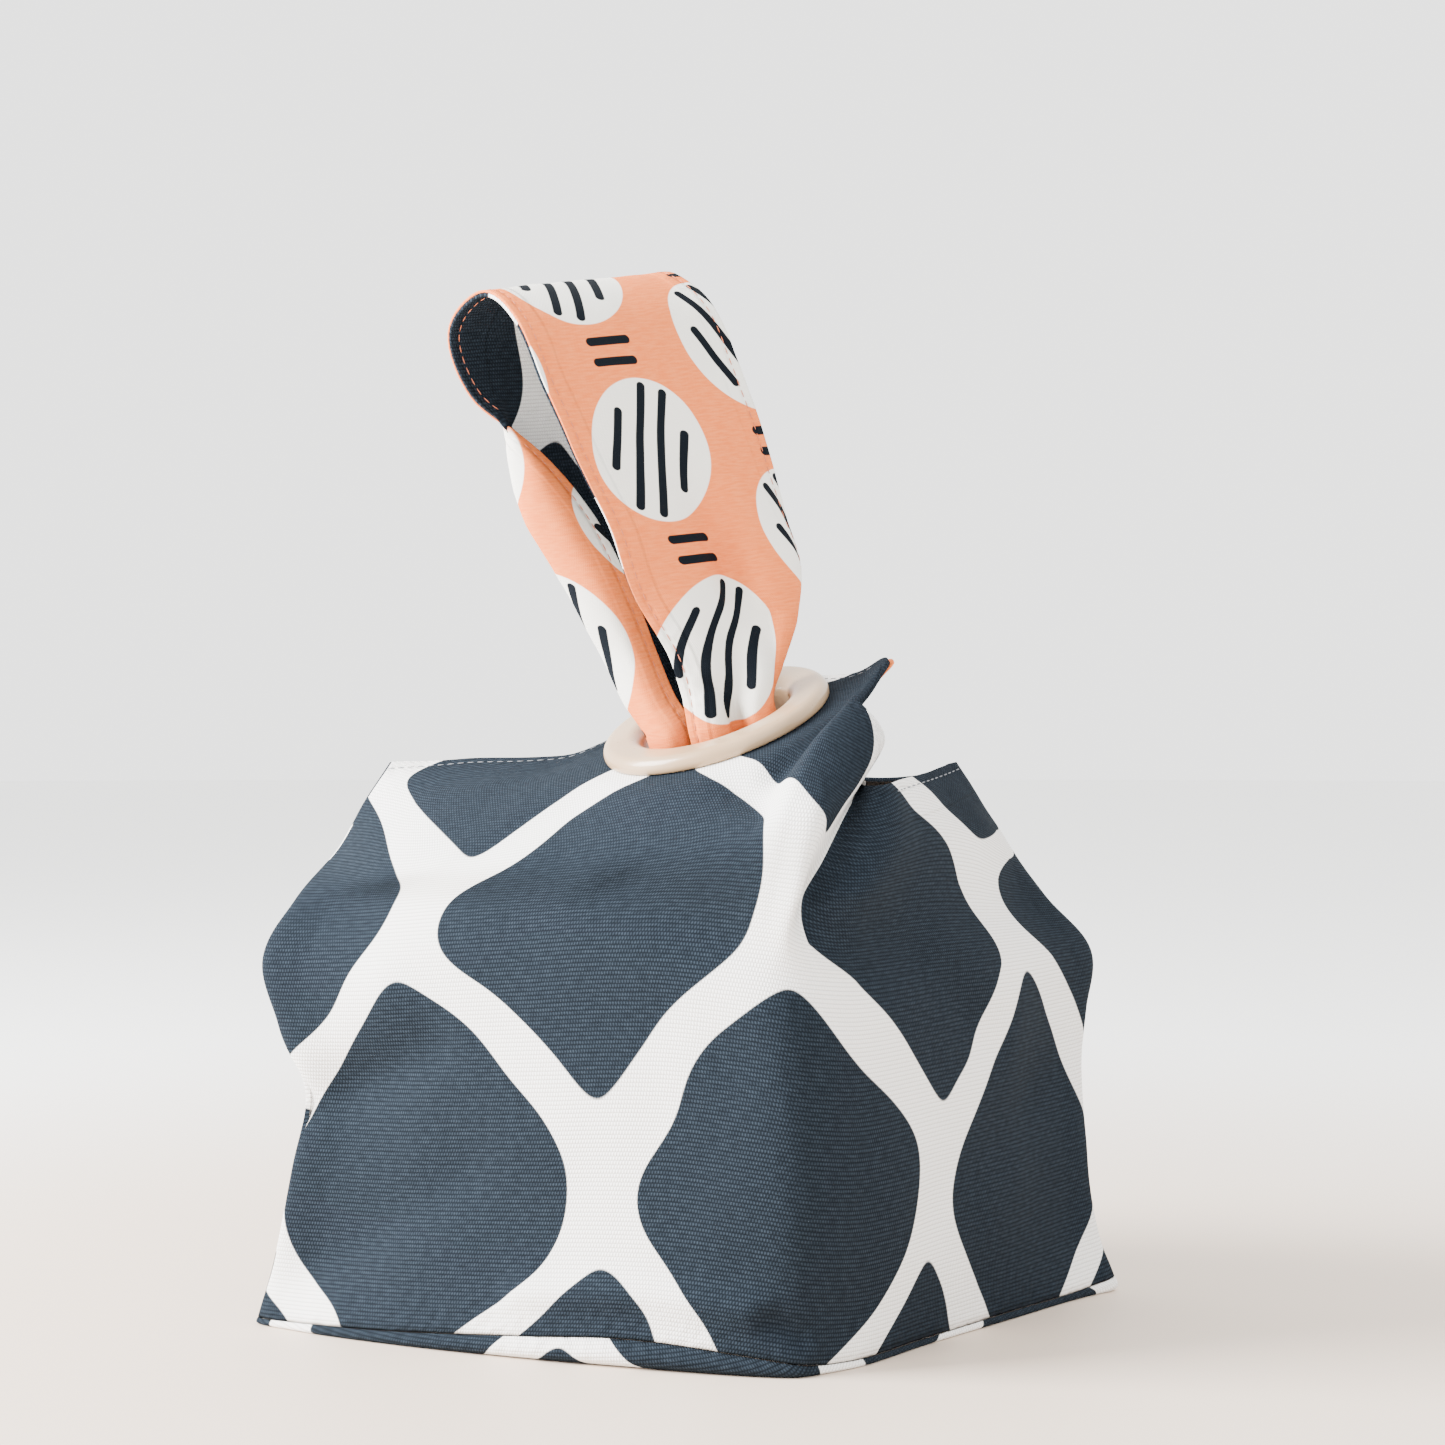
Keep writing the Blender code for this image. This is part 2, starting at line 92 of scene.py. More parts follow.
# Stations along each wall as shares of its width, and the seam's height over the table at each
FRONT_AT = (0.0, 0.09, 0.29, 0.53, 0.71, 0.79, 0.86, 0.93, 0.975)
FRONT_SEAM = (2.2, 2.8, 4.2, 6.6, 8.2, 7.6, 6.4, 5.0, 3.6)
SIDES = (
    (FRONT_AT, FRONT_SEAM),
    ((0.0, 0.05, 0.34, 0.64, 0.91), (2.6, 2.4, 2.2, 2.6, 3.0)),
    ((0.0, 0.09, 0.28, 0.5, 0.72, 0.91), (4.6, 4.6, 4.2, 4.0, 4.4, 4.8)),
    ((0.0, 0.09, 0.36, 0.64, 0.91), (5.0, 4.8, 4.0, 4.0, 3.2)),
)
BESIDE_CORNER = (0.09, 0.91)
CORNER_EASE = 2.0
TIP_PINCH = 1.0
FRONT_SEAM_BOW = 0.5
PLEAT_DEPTH = (0, 0, 0, 0, 0, 1.5, 8)
PLEAT_INSET = 3.0
PLEAT_INWARD = np.array((-0.75, 0.66, 0.0))

# The top, where the panels fold over: each station's crease, half way and hem
TOP = (
    ("near left", (-87, -56, 139), (-84.5, -45, 153), (-81, -36, 165)),
    ("front a", (-62, -75, 135), (-60, -54, 153), (-58, -33, 166)),
    ("front b", (-24, -82, 138), (-25, -55, 156), (-14, -27, 168.5)),
    ("front c", (18, -83, 141), (13, -58, 161), (8, 6, 188)),
    ("front d", (48, -83, 144), (46, -60, 163), (57, -3, 191)),
    ("tip", (58, -83, 145), (57, -60, 162.5), (75, -11, 195.5)),
    ("trough", (67, -83, 147), (66, -61, 161), (74, -30, 178.5)),
    ("tube", (79, -83, 151), (79, -67, 169.5), (81.5, -47, 184.5)),
    ("tube under", (87, -79, 149), (89, -68, 157), (91, -47, 172)),
    ("pleat", (82, -68, 139), (83, -60, 148), (83, -46, 160)),
    ("right a", (92, -66, 140), (92.5, -61, 150), (91, -56, 159.5)),
    ("right b", (96, -33, 142), (94.5, -36, 153), (91.5, -38, 161)),
    ("right c", (97, 2, 143), (95, -10, 154), (91.5, -18, 163)),
    ("right d", (95, 25, 143), (94, 6, 155), (91, -3, 165)),
    ("far right", (92, 36, 142), (92, 16, 155), (90, 4, 165.5)),
    ("back a", (76, 60, 138), (76, 37, 151), (72, 16, 161)),
    ("back b", (45, 76, 140), (42, 50, 153), (38, 26, 161.5)),
    ("back c", (0, 80, 142), (5, 50, 157), (8, 27, 166)),
    ("back d", (-45, 78, 141), (-38, 50, 156), (-26, 28, 166)),
    ("back e", (-74, 68, 138), (-70, 46, 154), (-60, 30, 165)),
    ("far left", (-88, 52, 140), (-86, 38, 153), (-82, 26, 164)),
    ("left a", (-89, 40, 141), (-87, 29, 152), (-83.5, 18, 161)),
    ("left b", (-91, 16, 142), (-89, 10, 151), (-85, 6, 158)),
    ("left c", (-91, -18, 141), (-89, -16, 151), (-85, -14, 158)),
    ("left d", (-89, -44, 140), (-86.5, -37, 152), (-83, -30, 162.5)),
)
STATIONS = [fold[0] for fold in TOP]

# Strips of the fine cloth between two stations, and between two levels
ROUND = 12
UP = (8, 12, 12, 12, 12, 12, 12, 16, 24)
SHOULDER_ROW = sum(UP[:5])
FLAP_ROW = sum(UP[:7])
COLUMNS = {station: i * ROUND for i, station in enumerate(STATIONS)}
WALL_COLUMNS = [COLUMNS[station] for station in ("near left", "pleat", "far right", "far left")]

# The strap's sections, up the front limb and down the back one: how far to the side, near and up
# from the ring's centre, turn, slope, pitch, share of its width, and how far its folds close
STRAP_WIDTH = 64.0
SIDE_TURN = 28.0
STRAP = {
    "front": (
        (6, -46, -16, 10, 0.00, 90, 0.90, 0.4),
        (6, -30, -17, 16, 0.00, 85, 0.75, 1.2),
        (5, -15, -17, 22, 0.05, 75, 0.60, 1.7),
        (3, -4, -15, 26, 0.20, 45, 0.50, 2.0),
        (1.5, -1.5, -6, 28, 0.31, 18, 0.50, 2.0),
        (-1, 1, 4, 28, 0.31, 17, 0.60, 2.0),
        (1, 3, 13, 30, 0.28, 12, 0.80, 1.8),
        (2.5, 5, 23, 36, 0.20, 6, 0.95, 1.5),
        (1.5, 9, 40, 46, 0.14, 0, 1.03, 1.0),
        (-5, 13, 60, 54, 0.10, 0, 1.03, 0.6),
        (-13, 16, 80, 60, 0.12, 0, 1.05, 0.2),
        (-21, 16, 100, 63, 0.13, 0, 1.05, 0.0),
        (-30, 12.5, 120, 63, 0.15, 0, 1.03, 0.0),
        (-42, 0, 129.5, 63, 0.16, 0, 1.0, 0.0),
    ),
    "back": (
        (-52, -13, 119, 63, 0.15, 0, 1.0, 0.0),
        (-50, -18, 100, 63, 0.12, 0, 1.0, 0.2),
        (-41, -19, 83, 62, 0.10, 0, 1.0, 0.7),
        (-30, -17, 64, 58, 0.08, 0, 1.0, 1.0),
        (-18, -13, 44, 50, 0.10, 3, 1.0, 1.2),
        (-10, -8, 25, 38, 0.20, 8, 0.9, 1.6),
        (-6, -3, 13, 31, 0.28, 14, 0.7, 1.85),
        (-1.5, 1, 4, 28, 0.31, 17, 0.6, 2.0),
        (1, -1.5, -5, 28, 0.31, 18, 0.5, 2.0),
    ),
}
# Folds across the strap at a close of 1 and of 2; at 0 it lies flat
CURLED = {
    "front": ((-27, -2), (-16, -3.5), (-5, -2), (3, 2.5), (12, -4.5), (22, -3), (25, 5)),
    "back": ((-15, -11), (-26, -11), (-32, -2), (-23, 4), (-10, 4), (6, 2), (22, 0)),
}
GATHERED = {
    "front": ((-7, -12.5), (1, -16.5), (6, -11), (12, -15.5), (18.3, -8), (13, 0), (3, -3)),
    "back": ((-6, -7), (-12.3, -12), (-18.6, -5), (-16.5, 6), (-5, 13), (5, 9), (13, 11.5)),
}
ROOTS = ((-3, 0.8), (-2, 0.9), (-1, 1.4))  # a row of the back panel, and how far below it
COARSE_UP = (1, 2, 2, 2, 2, 2, 2, 3, 4)  # the solids' own strips, in which the roots are counted
COARSE_ROUND = 3
ACROSS = 7
ALONG = 8

# Where the slack is held back: at the ring and the seam on the body, in the ring and at the root
# on the strap
CLAMPED_TO = RING_OUTER + 1.5
CLAMP_EASE = 16
CLAMP_DEPTH = 12
SEAM_EASE = 10
IN_RING = 14
IN_RING_HOLD = 0.8
ROOT_EASE = 25

# Where two pieces were cut from their prints: how far they lie across and along the flat cloth
LINING_CUT = (-7.0, 31.0)
DUCK_CUT = (-45.0, 2.0)

FAR = 1000.0  # the distance kept where a sheet has no hem or seam near
STITCH_LINE = 2.8  # from the edge
STITCH_GAP = 0.8

# Soft troughs and ridges in the flat cloth: start, end, height and width. Places are round the bag
# from the middle of the front and up from the seam. A ridge has a positive height.
BODY_CREASES = (
    ("slack under the fold", (20, 128), (75, 108), -2.0, 9),
    ("swell under the slack", (18, 112), (70, 92), 1.0, 11),
    ("pinch at the left edge", (-88, 64), (-40, 82), -2.4, 8),
    ("swell over the pinch", (-86, 84), (-52, 100), 1.6, 10),
    ("drag from the low left", (-84, 14), (-30, 46), -1.4, 9),
    ("drag to the ring, left", (-40, 150), (-8, 172), -1.3, 6),
    ("drag to the ring, right", (52, 150), (36, 168), -1.1, 5),
    ("tuck over the seam", (-5, 12), (66, 12), 2.4, 5),
    ("dimple ending the tuck", (70, 10), (80, 7), -2.6, 3.5),
    ("right wall, from the pleat", (120, 118), (165, 84), -2.0, 10),
    ("right wall, low", (140, 40), (205, 62), -1.6, 12),
    ("back wall, from the left", (300, 104), (360, 70), -1.8, 11),
    ("back wall, low right", (440, 30), (385, 58), -1.5, 11),
)
# The same on the strap, across it from its middle and along it from its root
STRAP_CREASES = (
    ("crease beside the right lobe", (6, 80), (10, 132), -2.4, 3.6),
    ("swell of the right lobe", (16, 98), (18, 128), 1.1, 5.0),
    ("fold up the middle", (-8, 76), (-13, 114), -1.9, 3.2),
    ("swell of the left lobe", (-20, 98), (-22, 120), 0.9, 5.0),
    ("slack across the back limb", (-14, 268), (14, 282), -1.2, 5.0),
)


# Surfaces, as grids of points


def slopes(values, places, closed):
    """The slope at each place of a curve through the values, from its neighbours on both sides."""
    steps = np.diff(values, axis=0)
    gaps = np.diff(places)
    if closed:
        closing = values[:1] - values[-1:]
        steps = np.concatenate([closing, steps, closing])
        gaps = np.pad(gaps, 1, constant_values=gaps.mean())
    else:
        steps = np.concatenate([steps[:1], steps, steps[-1:]])
        gaps = np.pad(gaps, 1, "edge")
    gaps = gaps.reshape((-1,) + (1,) * (values.ndim - 1))
    before, after = gaps[:-1], gaps[1:]
    return (steps[:-1] / before * after + steps[1:] / after * before) / (before + after)


def through(values, counts, closed=False):
    """Points on a smooth curve through the values, with a count of steps after each of them."""
    values = np.asarray(values, float)
    spans = np.linalg.norm(np.roll(values, -1, axis=0) - values, axis=-1)
    spans = spans.reshape(len(values), -1).mean(axis=1)
    places = np.concatenate([[0.0], np.cumsum(spans[:-1])])
    rates = slopes(values, places, closed)
    found = []
    for i in range(len(values) if closed else len(values) - 1):
        j = (i + 1) % len(values)
        for step in range(counts[i]):
            t = step / counts[i]
            found.append(
                (2 * t**3 - 3 * t**2 + 1) * values[i]
                + (t**3 - 2 * t**2 + t) * spans[i] * rates[i]
                + (3 * t**2 - 2 * t**3) * values[j]
                + (t**3 - t**2) * spans[i] * rates[j]
            )
    if not closed:
        found.append(values[-1])
    return np.array(found)


def wall_row(level, depth):
    """The stations round the walls at one level."""
    seam = level is WALLS[0]
    height, corners, bellies = level[0], level[1:5], level[5:]
    ease = TIP_PINCH if seam else CORNER_EASE
    row = []
    for i, (places, seam_heights) in enumerate(SIDES):
        start = np.array(corners[i], float)
        along = np.array(corners[(i + 1) % 4], float) - start
        out = unit(np.array((along[1], -along[0])))
        power = FRONT_SEAM_BOW if seam and i == 0 else 1.0
        for at, seam_height in zip(places, seam_heights):
            bulge = bellies[i] * math.sin(math.pi * at) ** power
            drawn = ease if at in BESIDE_CORNER else 0.0
            point = start + along * at + out * (bulge - drawn)
            row.append(np.append(point, seam_height if seam else height))
    row[STATIONS.index("pleat")] += PLEAT_INWARD * (depth + PLEAT_INSET)
    return row


def body_net():
    rows = [wall_row(level, depth) for level, depth in zip(WALLS, PLEAT_DEPTH)]
    for line in (1, 2, 3):
        rows.append([fold[line] for fold in TOP])
    return np.array(rows, float)


def from_ring(points):
    """How high points lie over the ring's seat, and how far from its axis."""
    offset = points - RING_CENTRE
    height = offset @ RING_NORMAL
    reach = np.linalg.norm(offset - height[..., None] * RING_NORMAL, axis=-1)
    return height, reach


def ring_hole(points, radius, depth):
    """The faces of a grid that are cut away inside the ring."""
    height, reach = from_ring((points[:-1, :-1] + points[1:, 1:]) / 2)
    return (reach < radius) & (np.abs(height) < depth)


def edge_hold(distance, reach):
    """1 at an edge, easing to 0 at that reach from it."""
    share = np.clip(1 - distance / reach, 0.0, 1.0)
    return share * share * (3 - 2 * share)


def flattened(points, near=RING_OUTER + 4.0, far=53.0, depth=30.0, lowest=150.0):
    """The surface drawn flat where the ring clamps it, easing off further out."""
    height, reach = from_ring(points)
    clamped = (np.abs(height) < depth) & (points[..., 2] > lowest)
    hold = np.where(clamped, edge_hold(reach - near, far - near), 0.0)
    return points - (hold * height)[..., None] * RING_NORMAL


def body_surface(up, around):
    net = body_net()
    levels = through(net, up)
    full = through(levels.transpose(1, 0, 2), (around,) * net.shape[1], closed=True)
    return flattened(full.transpose(1, 0, 2))


def grid_normals(points, closed):
    """Unit normals of a grid of points, on the side that its faces show."""
    if closed:
        across = np.roll(points, -1, axis=1) - np.roll(points, 1, axis=1)
    else:
        across = np.gradient(points, axis=1)
    return unit(np.cross(across, np.gradient(points, axis=0)))


def wrapped(points):
    """A closed grid with its first column again at the end."""
    return np.concatenate([points, points[:, :1]], axis=1)


def distance_along(points, axis):
    """How far each point of a grid lies from the first, measured on the cloth along one way."""
    steps = np.linalg.norm(np.diff(points, axis=axis), axis=-1)
    start = np.zeros_like(np.take(steps, [0], axis=axis))
    return np.cumsum(np.concatenate([start, steps], axis=axis), axis=axis)


def averaged(values, times):
    """A closed grid's values, spread that many times over their neighbours round the bag."""
    for _ in range(times):
        values = (np.roll(values, 1, axis=1) + 2 * values + np.roll(values, -1, axis=1)) / 4
    return values


def flat_places(points, spread=60):
    """Where each point of the wrapped body lies on the flat cloth, for each of the four walls.

    Below the shoulders the print runs on round the corners. Above them each wall is centred, and
    its spare cloth is taken up in the corner seams.
    """
    arc = distance_along(points, 1)
    up = wrapped(averaged(distance_along(points, 0)[:, :-1], spread))
    starts = WALL_COLUMNS + [points.shape[1] - 1]
    begin = arc[:, 0] - arc[:, COLUMNS["front c"]]
    around = []
    for wall in range(4):
        first = arc[:, starts[wall]]
        width = arc[:, starts[wall + 1]] - first
        spare = np.zeros_like(width)
        if wall:
            spare[SHOULDER_ROW:] = (width[SHOULDER_ROW] - width[SHOULDER_ROW:]) / 2
            begin[SHOULDER_ROW:] = begin[SHOULDER_ROW]
        around.append((begin + spare - first)[:, None] + arc)
        begin = begin + width
    return around, up


def wall_of(column):
    """Which wall a strip of the fine body belongs to."""
    return max(i for i, start in enumerate(WALL_COLUMNS) if column >= start)


def creased(points, normals, around, up, creases):
    """The surface with its table of creases pressed in or raised."""
    lift = np.zeros(up.shape)
    for _, start, end, height, width in creases:
        line = np.subtract(end, start, dtype=float)
        place = np.stack([around, up], axis=-1) - start
        share = np.clip(place @ line / (line @ line), 0.0, 1.0)
        gap = np.linalg.norm(place - share[..., None] * line, axis=-1)
        lift += height * np.exp(-((gap / width) ** 2))
    return points + normals * lift[..., None]


def uneven(points, normals, hold, amount, size, finer=2.7, finer_share=0.4):
    """The surface with the slack that handled cloth has, less where hold is near 1."""
    found = []
    for point in points.reshape(-1, 3):
        place = Vector(point) / size
        found.append(noise.noise(place) + finer_share * noise.noise(place * finer))
    lift = amount * np.array(found).reshape(points.shape[:-1]) * (1 - hold)
    return points + normals * lift[..., None]


def softened(points, column, reach, times, low, high, ease_in=24, ease_out=22):
    """The surface rounded off round a column, easing in from the low height and out to the high."""
    smooth = averaged(points[:, :-1], times)
    place = np.arange(smooth.shape[1])
    share = np.exp(-(((place - column) / reach) ** 2))[None, :]
    height = points[:, :-1, 2]
    share = share * np.clip((height - low) / ease_in, 0, 1)
    share = share * np.clip((high - height) / ease_out, 0, 1)
    return wrapped(points[:, :-1] + (smooth - points[:, :-1]) * share[..., None])


def with_edge_row(points, gap=0.5, most=0.4):
    """The grid with one more row close before its last, at most that share of a step from it."""
    step = points[-1] - points[-2]
    length = np.linalg.norm(step, axis=-1, keepdims=True)
    near = points[-1] - step * np.minimum(gap / length, most)
    return np.concatenate([points[:-1], near[None], points[-1:]])


@lru_cache(maxsize=None)
def dressed_body():
    """The wrapped fine body with its creases and slack, its flat places and its normals."""
    points = with_edge_row(wrapped(body_surface(UP, ROUND)))
    points = softened(points, COLUMNS["pleat"] - 6, reach=32, times=500, low=-8, high=130)
    points = softened(points, COLUMNS["right a"], reach=10, times=60, low=132, high=400)
    around, up = flat_places(points)
    normals = wrapped(grid_normals(points[:, :-1], True))
    height, reach = from_ring(points)
    clamped = edge_hold(np.maximum(reach - CLAMPED_TO, 0), CLAMP_EASE)
    clamped = np.where(np.abs(height) < CLAMP_DEPTH, clamped, 0.0)
    last = points.shape[1] - 1
    walls = np.array([wall_of(min(column, last - 1)) for column in range(last + 1)])
    place = np.choose(walls[None, :].repeat(len(up), axis=0), around)
    moved = creased(points, normals, place, up, BODY_CREASES)
    points = points + (moved - points) * (1 - clamped[..., None])
    hold = np.maximum(clamped, edge_hold(up, SEAM_EASE))
    points = uneven(points, normals, hold, amount=0.9, size=42.0)
    points[:, -1] = points[:, 0]
    return points, around, up, normals


def strap_section(section, limb):
    """The points across the strap at one section of its loop."""
    side, near, height, turn, slope, pitch, width, close = section
    sine, cosine = math.sin(math.radians(SIDE_TURN)), math.cos(math.radians(SIDE_TURN))
    centre = (side * cosine + near * sine, side * sine - near * cosine, height)
    centre = RING_CENTRE + np.array(centre)
    turn = math.radians(turn)
    pitch = math.radians(pitch)
    level = math.cos(pitch)
    across = np.array((math.cos(turn), math.sin(turn), slope))
    away = np.array((-math.sin(turn) * level, math.cos(turn) * level, math.sin(pitch)))
    curled = np.array(CURLED[limb], float)
    gathered = np.array(GATHERED[limb], float)
    flat = np.zeros(curled.shape)
    flat[:, 0] = np.linspace(-0.5, 0.5, len(flat)) * STRAP_WIDTH * width
    if close < 1:
        folds = flat * (1 - close) + curled * close
    else:
        folds = curled * (2 - close) + gathered * (close - 1)
    return [centre + across * a + away * d for a, d in folds]


def strap_points():
    """The strap's middle surface, from under the back panel's hem, round its loop to its end."""
    surface = body_surface(COARSE_UP, COARSE_ROUND)
    normals = grid_normals(surface, True)
    left, right = (STATIONS.index(name) * COARSE_ROUND for name in ("back d", "back b"))
    columns = range(left, right - 1, -1)
    sections = []
    for row, below in ROOTS:
        drop = CANVAS + STRAP_LAYER + LAYER_GAP / 2 + below
        sections.append([surface[row, c] - normals[row, c] * drop for c in columns])
    for limb, rows in STRAP.items():
        sections += [strap_section(section, limb) for section in rows]
    net = np.array(sections)
    along = through(net, (ALONG,) * (len(net) - 1))
    crossed = through(along.transpose(1, 0, 2), (ACROSS,) * (net.shape[1] - 1))
    turned = with_edge_row(crossed)
    turned = with_edge_row(turned[::-1])[::-1]
    return turned.transpose(1, 0, 2)


@lru_cache(maxsize=None)
def dressed_strap():
    """The fine strap with its creases and slack, its normals and its flat places."""
    points = strap_points()
    normals = grid_normals(points, False)
    across = distance_along(points, 1)
    across -= across[:, -1:] / 2
    along = distance_along(points, 0).mean(axis=1, keepdims=True) + np.zeros_like(across)
    points = creased(points, normals, across, along, STRAP_CREASES)
    height = from_ring(points)[0]
    hold = np.where(np.abs(height) < IN_RING, IN_RING_HOLD, 0.0)
    hold = np.maximum(hold, edge_hold(along, ROOT_EASE))
    points = uneven(points, normals, hold, amount=0.7, size=22.0)
    return points, grid_normals(points, False), across, along


# Pieces from grids and profiles


def piece_of(name, bm, smooth=True):
    """A new piece with what was drawn in the bmesh."""
    for face in bm.faces:
        face.smooth = smooth
    mesh = bpy.data.meshes.new(name)
    bm.to_mesh(mesh)
    bm.free()
    piece = bpy.data.objects.new(name, mesh)
    bpy.context.scene.collection.objects.link(piece)
    return piece


def cloth_grid(name, points, places, distances, skip=None, close=False):
    """A sheet over a grid of points.

    Its flat places are kept as its UV map in metres, and the distances from its hem and seam, in
    millimetres, as attributes.
    """
    rows, columns = points.shape[:2]
    bm = bmesh.new()
    bmesh.ops.create_grid(bm, x_segments=columns - 1, y_segments=rows - 1, size=0.5)
    uv = bm.loops.layers.uv.new("flat_cloth")
    layers = {key: bm.verts.layers.float.new(key) for key in ("from_hem", "from_seam")}
    spots = {}
    for vert in bm.verts:
        j = round((vert.co.x + 0.5) * (columns - 1))
        i = round((vert.co.y + 0.5) * (rows - 1))
        spots[vert] = (i, j)
        vert.co = Vector(points[i, j]) * MM
        for key, layer in layers.items():
            vert[layer] = distances[key][i, j] if key in distances else FAR
    dropped = []
    for face in bm.faces:
        i, j = (min(spots[vert][way] for vert in face.verts) for way in (0, 1))
        if skip is not None and skip[i, j]:
            dropped.append(face)
            continue
        around, up = places(j)
        for loop in face.loops:
            spot = spots[loop.vert]
            loop[uv].uv = (around[spot] * MM, up[spot] * MM)
    bmesh.ops.delete(bm, geom=dropped, context="FACES")
    if close:
        bmesh.ops.remove_doubles(bm, verts=bm.verts, dist=1e-6)
    return piece_of(name, bm)


def thicken(sheet, thickness, offset=-1.0, reverse=None):
    solid = sheet.modifiers.new("Thickness", "SOLIDIFY")
    solid.thickness = thickness
    solid.offset = offset
    if reverse:
        sheet.data.materials.append(reverse)
        solid.material_offset = 1


def round_corner(centre, radius, start, end, steps):
    """Points of a rounded corner of a profile, its angles in degrees."""
    corner = []
    for i in range(steps + 1):
        angle = math.radians(start + (end - start) * i / steps)
        corner.append((centre[0] + radius * math.cos(angle), centre[1] + radius * math.sin(angle)))
    return corner


def turned_ring(name, profile, segments, finish):
    """A ring spun from a closed profile of (radius, height) and seated on the flap."""
    bm = bmesh.new()
    verts = [bm.verts.new((r * MM, 0.0, h * MM)) for r, h in profile]
    edges = [bm.edges.new((a, b)) for a, b in zip(verts, verts[1:] + verts[:1])]
    spin = {"cent": (0, 0, 0), "axis": (0, 0, 1), "angle": math.tau, "steps": segments}
    bmesh.ops.spin(bm, geom=verts + edges, use_merge=True, **spin)
    bmesh.ops.remove_doubles(bm, verts=bm.verts, dist=1e-7)
    bmesh.ops.recalc_face_normals(bm, faces=bm.faces)
    lean = Vector((0, 0, 1)).rotation_difference(Vector(RING_NORMAL)).to_matrix().to_4x4()
    seat = Matrix.Translation(Vector(RING_CENTRE) * MM) @ lean
    bmesh.ops.transform(bm, matrix=seat, verts=bm.verts)
    ring = piece_of(name, bm)
    ring.data.materials.append(finish)
    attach(ring, "root")
    return ring


def row_at(points, values, distance):
    """The values across a grid at that distance from its last row, measured along its columns."""
    back = distance_along(points[::-1], 0)
    values = values[::-1]
    line = []
    for j in range(points.shape[1]):
        i = int(np.searchsorted(back[:, j], distance))
        before, after = back[i - 1, j], back[i, j]
        t = (distance - before) / (after - before)
        line.append(values[i - 1, j] * (1 - t) + values[i, j] * t)
    return np.array(line)


def sew(bm, line, normals, stitch, width, rise, sunk=0.3):
    """A row of stitches along a line of points, raised by that share of their rise."""
    steps = np.linalg.norm(np.diff(line, axis=0), axis=1)
    length = np.concatenate([[0.0], np.cumsum(steps)])

    def at(place, values):
        return Vector([np.interp(place, length, values[:, a]) for a in range(3)])

    pitch = stitch + STITCH_GAP
    for k in range(int(length[-1] // pitch)):
        start, end = at(k * pitch, line), at(k * pitch + stitch, line)
        up = at(k * pitch + stitch / 2, normals).normalized()
        along = (end - start).normalized()
        side = up.cross(along).normalized()
        up = along.cross(side)
        turn = Matrix((along, side, up)).transposed().to_4x4()
        size = Matrix.Diagonal((stitch / 2, width / 2, rise / 2, 1.0))
        middle = (start + end) / 2 + up * rise * sunk
        place = Matrix.Scale(MM, 4) @ Matrix.Translation(middle) @ turn @ size
        bmesh.ops.create_uvsphere(bm, u_segments=6, v_segments=4, radius=1.0, matrix=place)


def stitch_piece(name, bm, finish):
    piece = piece_of(name, bm)
    piece.data.materials.append(finish)
    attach(piece, "root")


# Materials


class Value:
    """A node's output that can be reckoned with. Each step of a sum adds a node."""

    def __init__(self, shader, socket):
        self.shader = shader
        self.socket = socket

    def math(self, operation, *others):
        return self.shader.math(operation, self, *others)

    def times_plus(self, factor, more):
        return self.math("MULTIPLY_ADD", factor, more)

    def __add__(self, other):
        return self.math("ADD", other)

    def __sub__(self, other):
        return self.math("SUBTRACT", other)

    def __mul__(self, other):
        return self.math("MULTIPLY", other)

    def __truediv__(self, other):
        return self.math("DIVIDE", other)

    def __abs__(self):
        return self.math("ABSOLUTE")


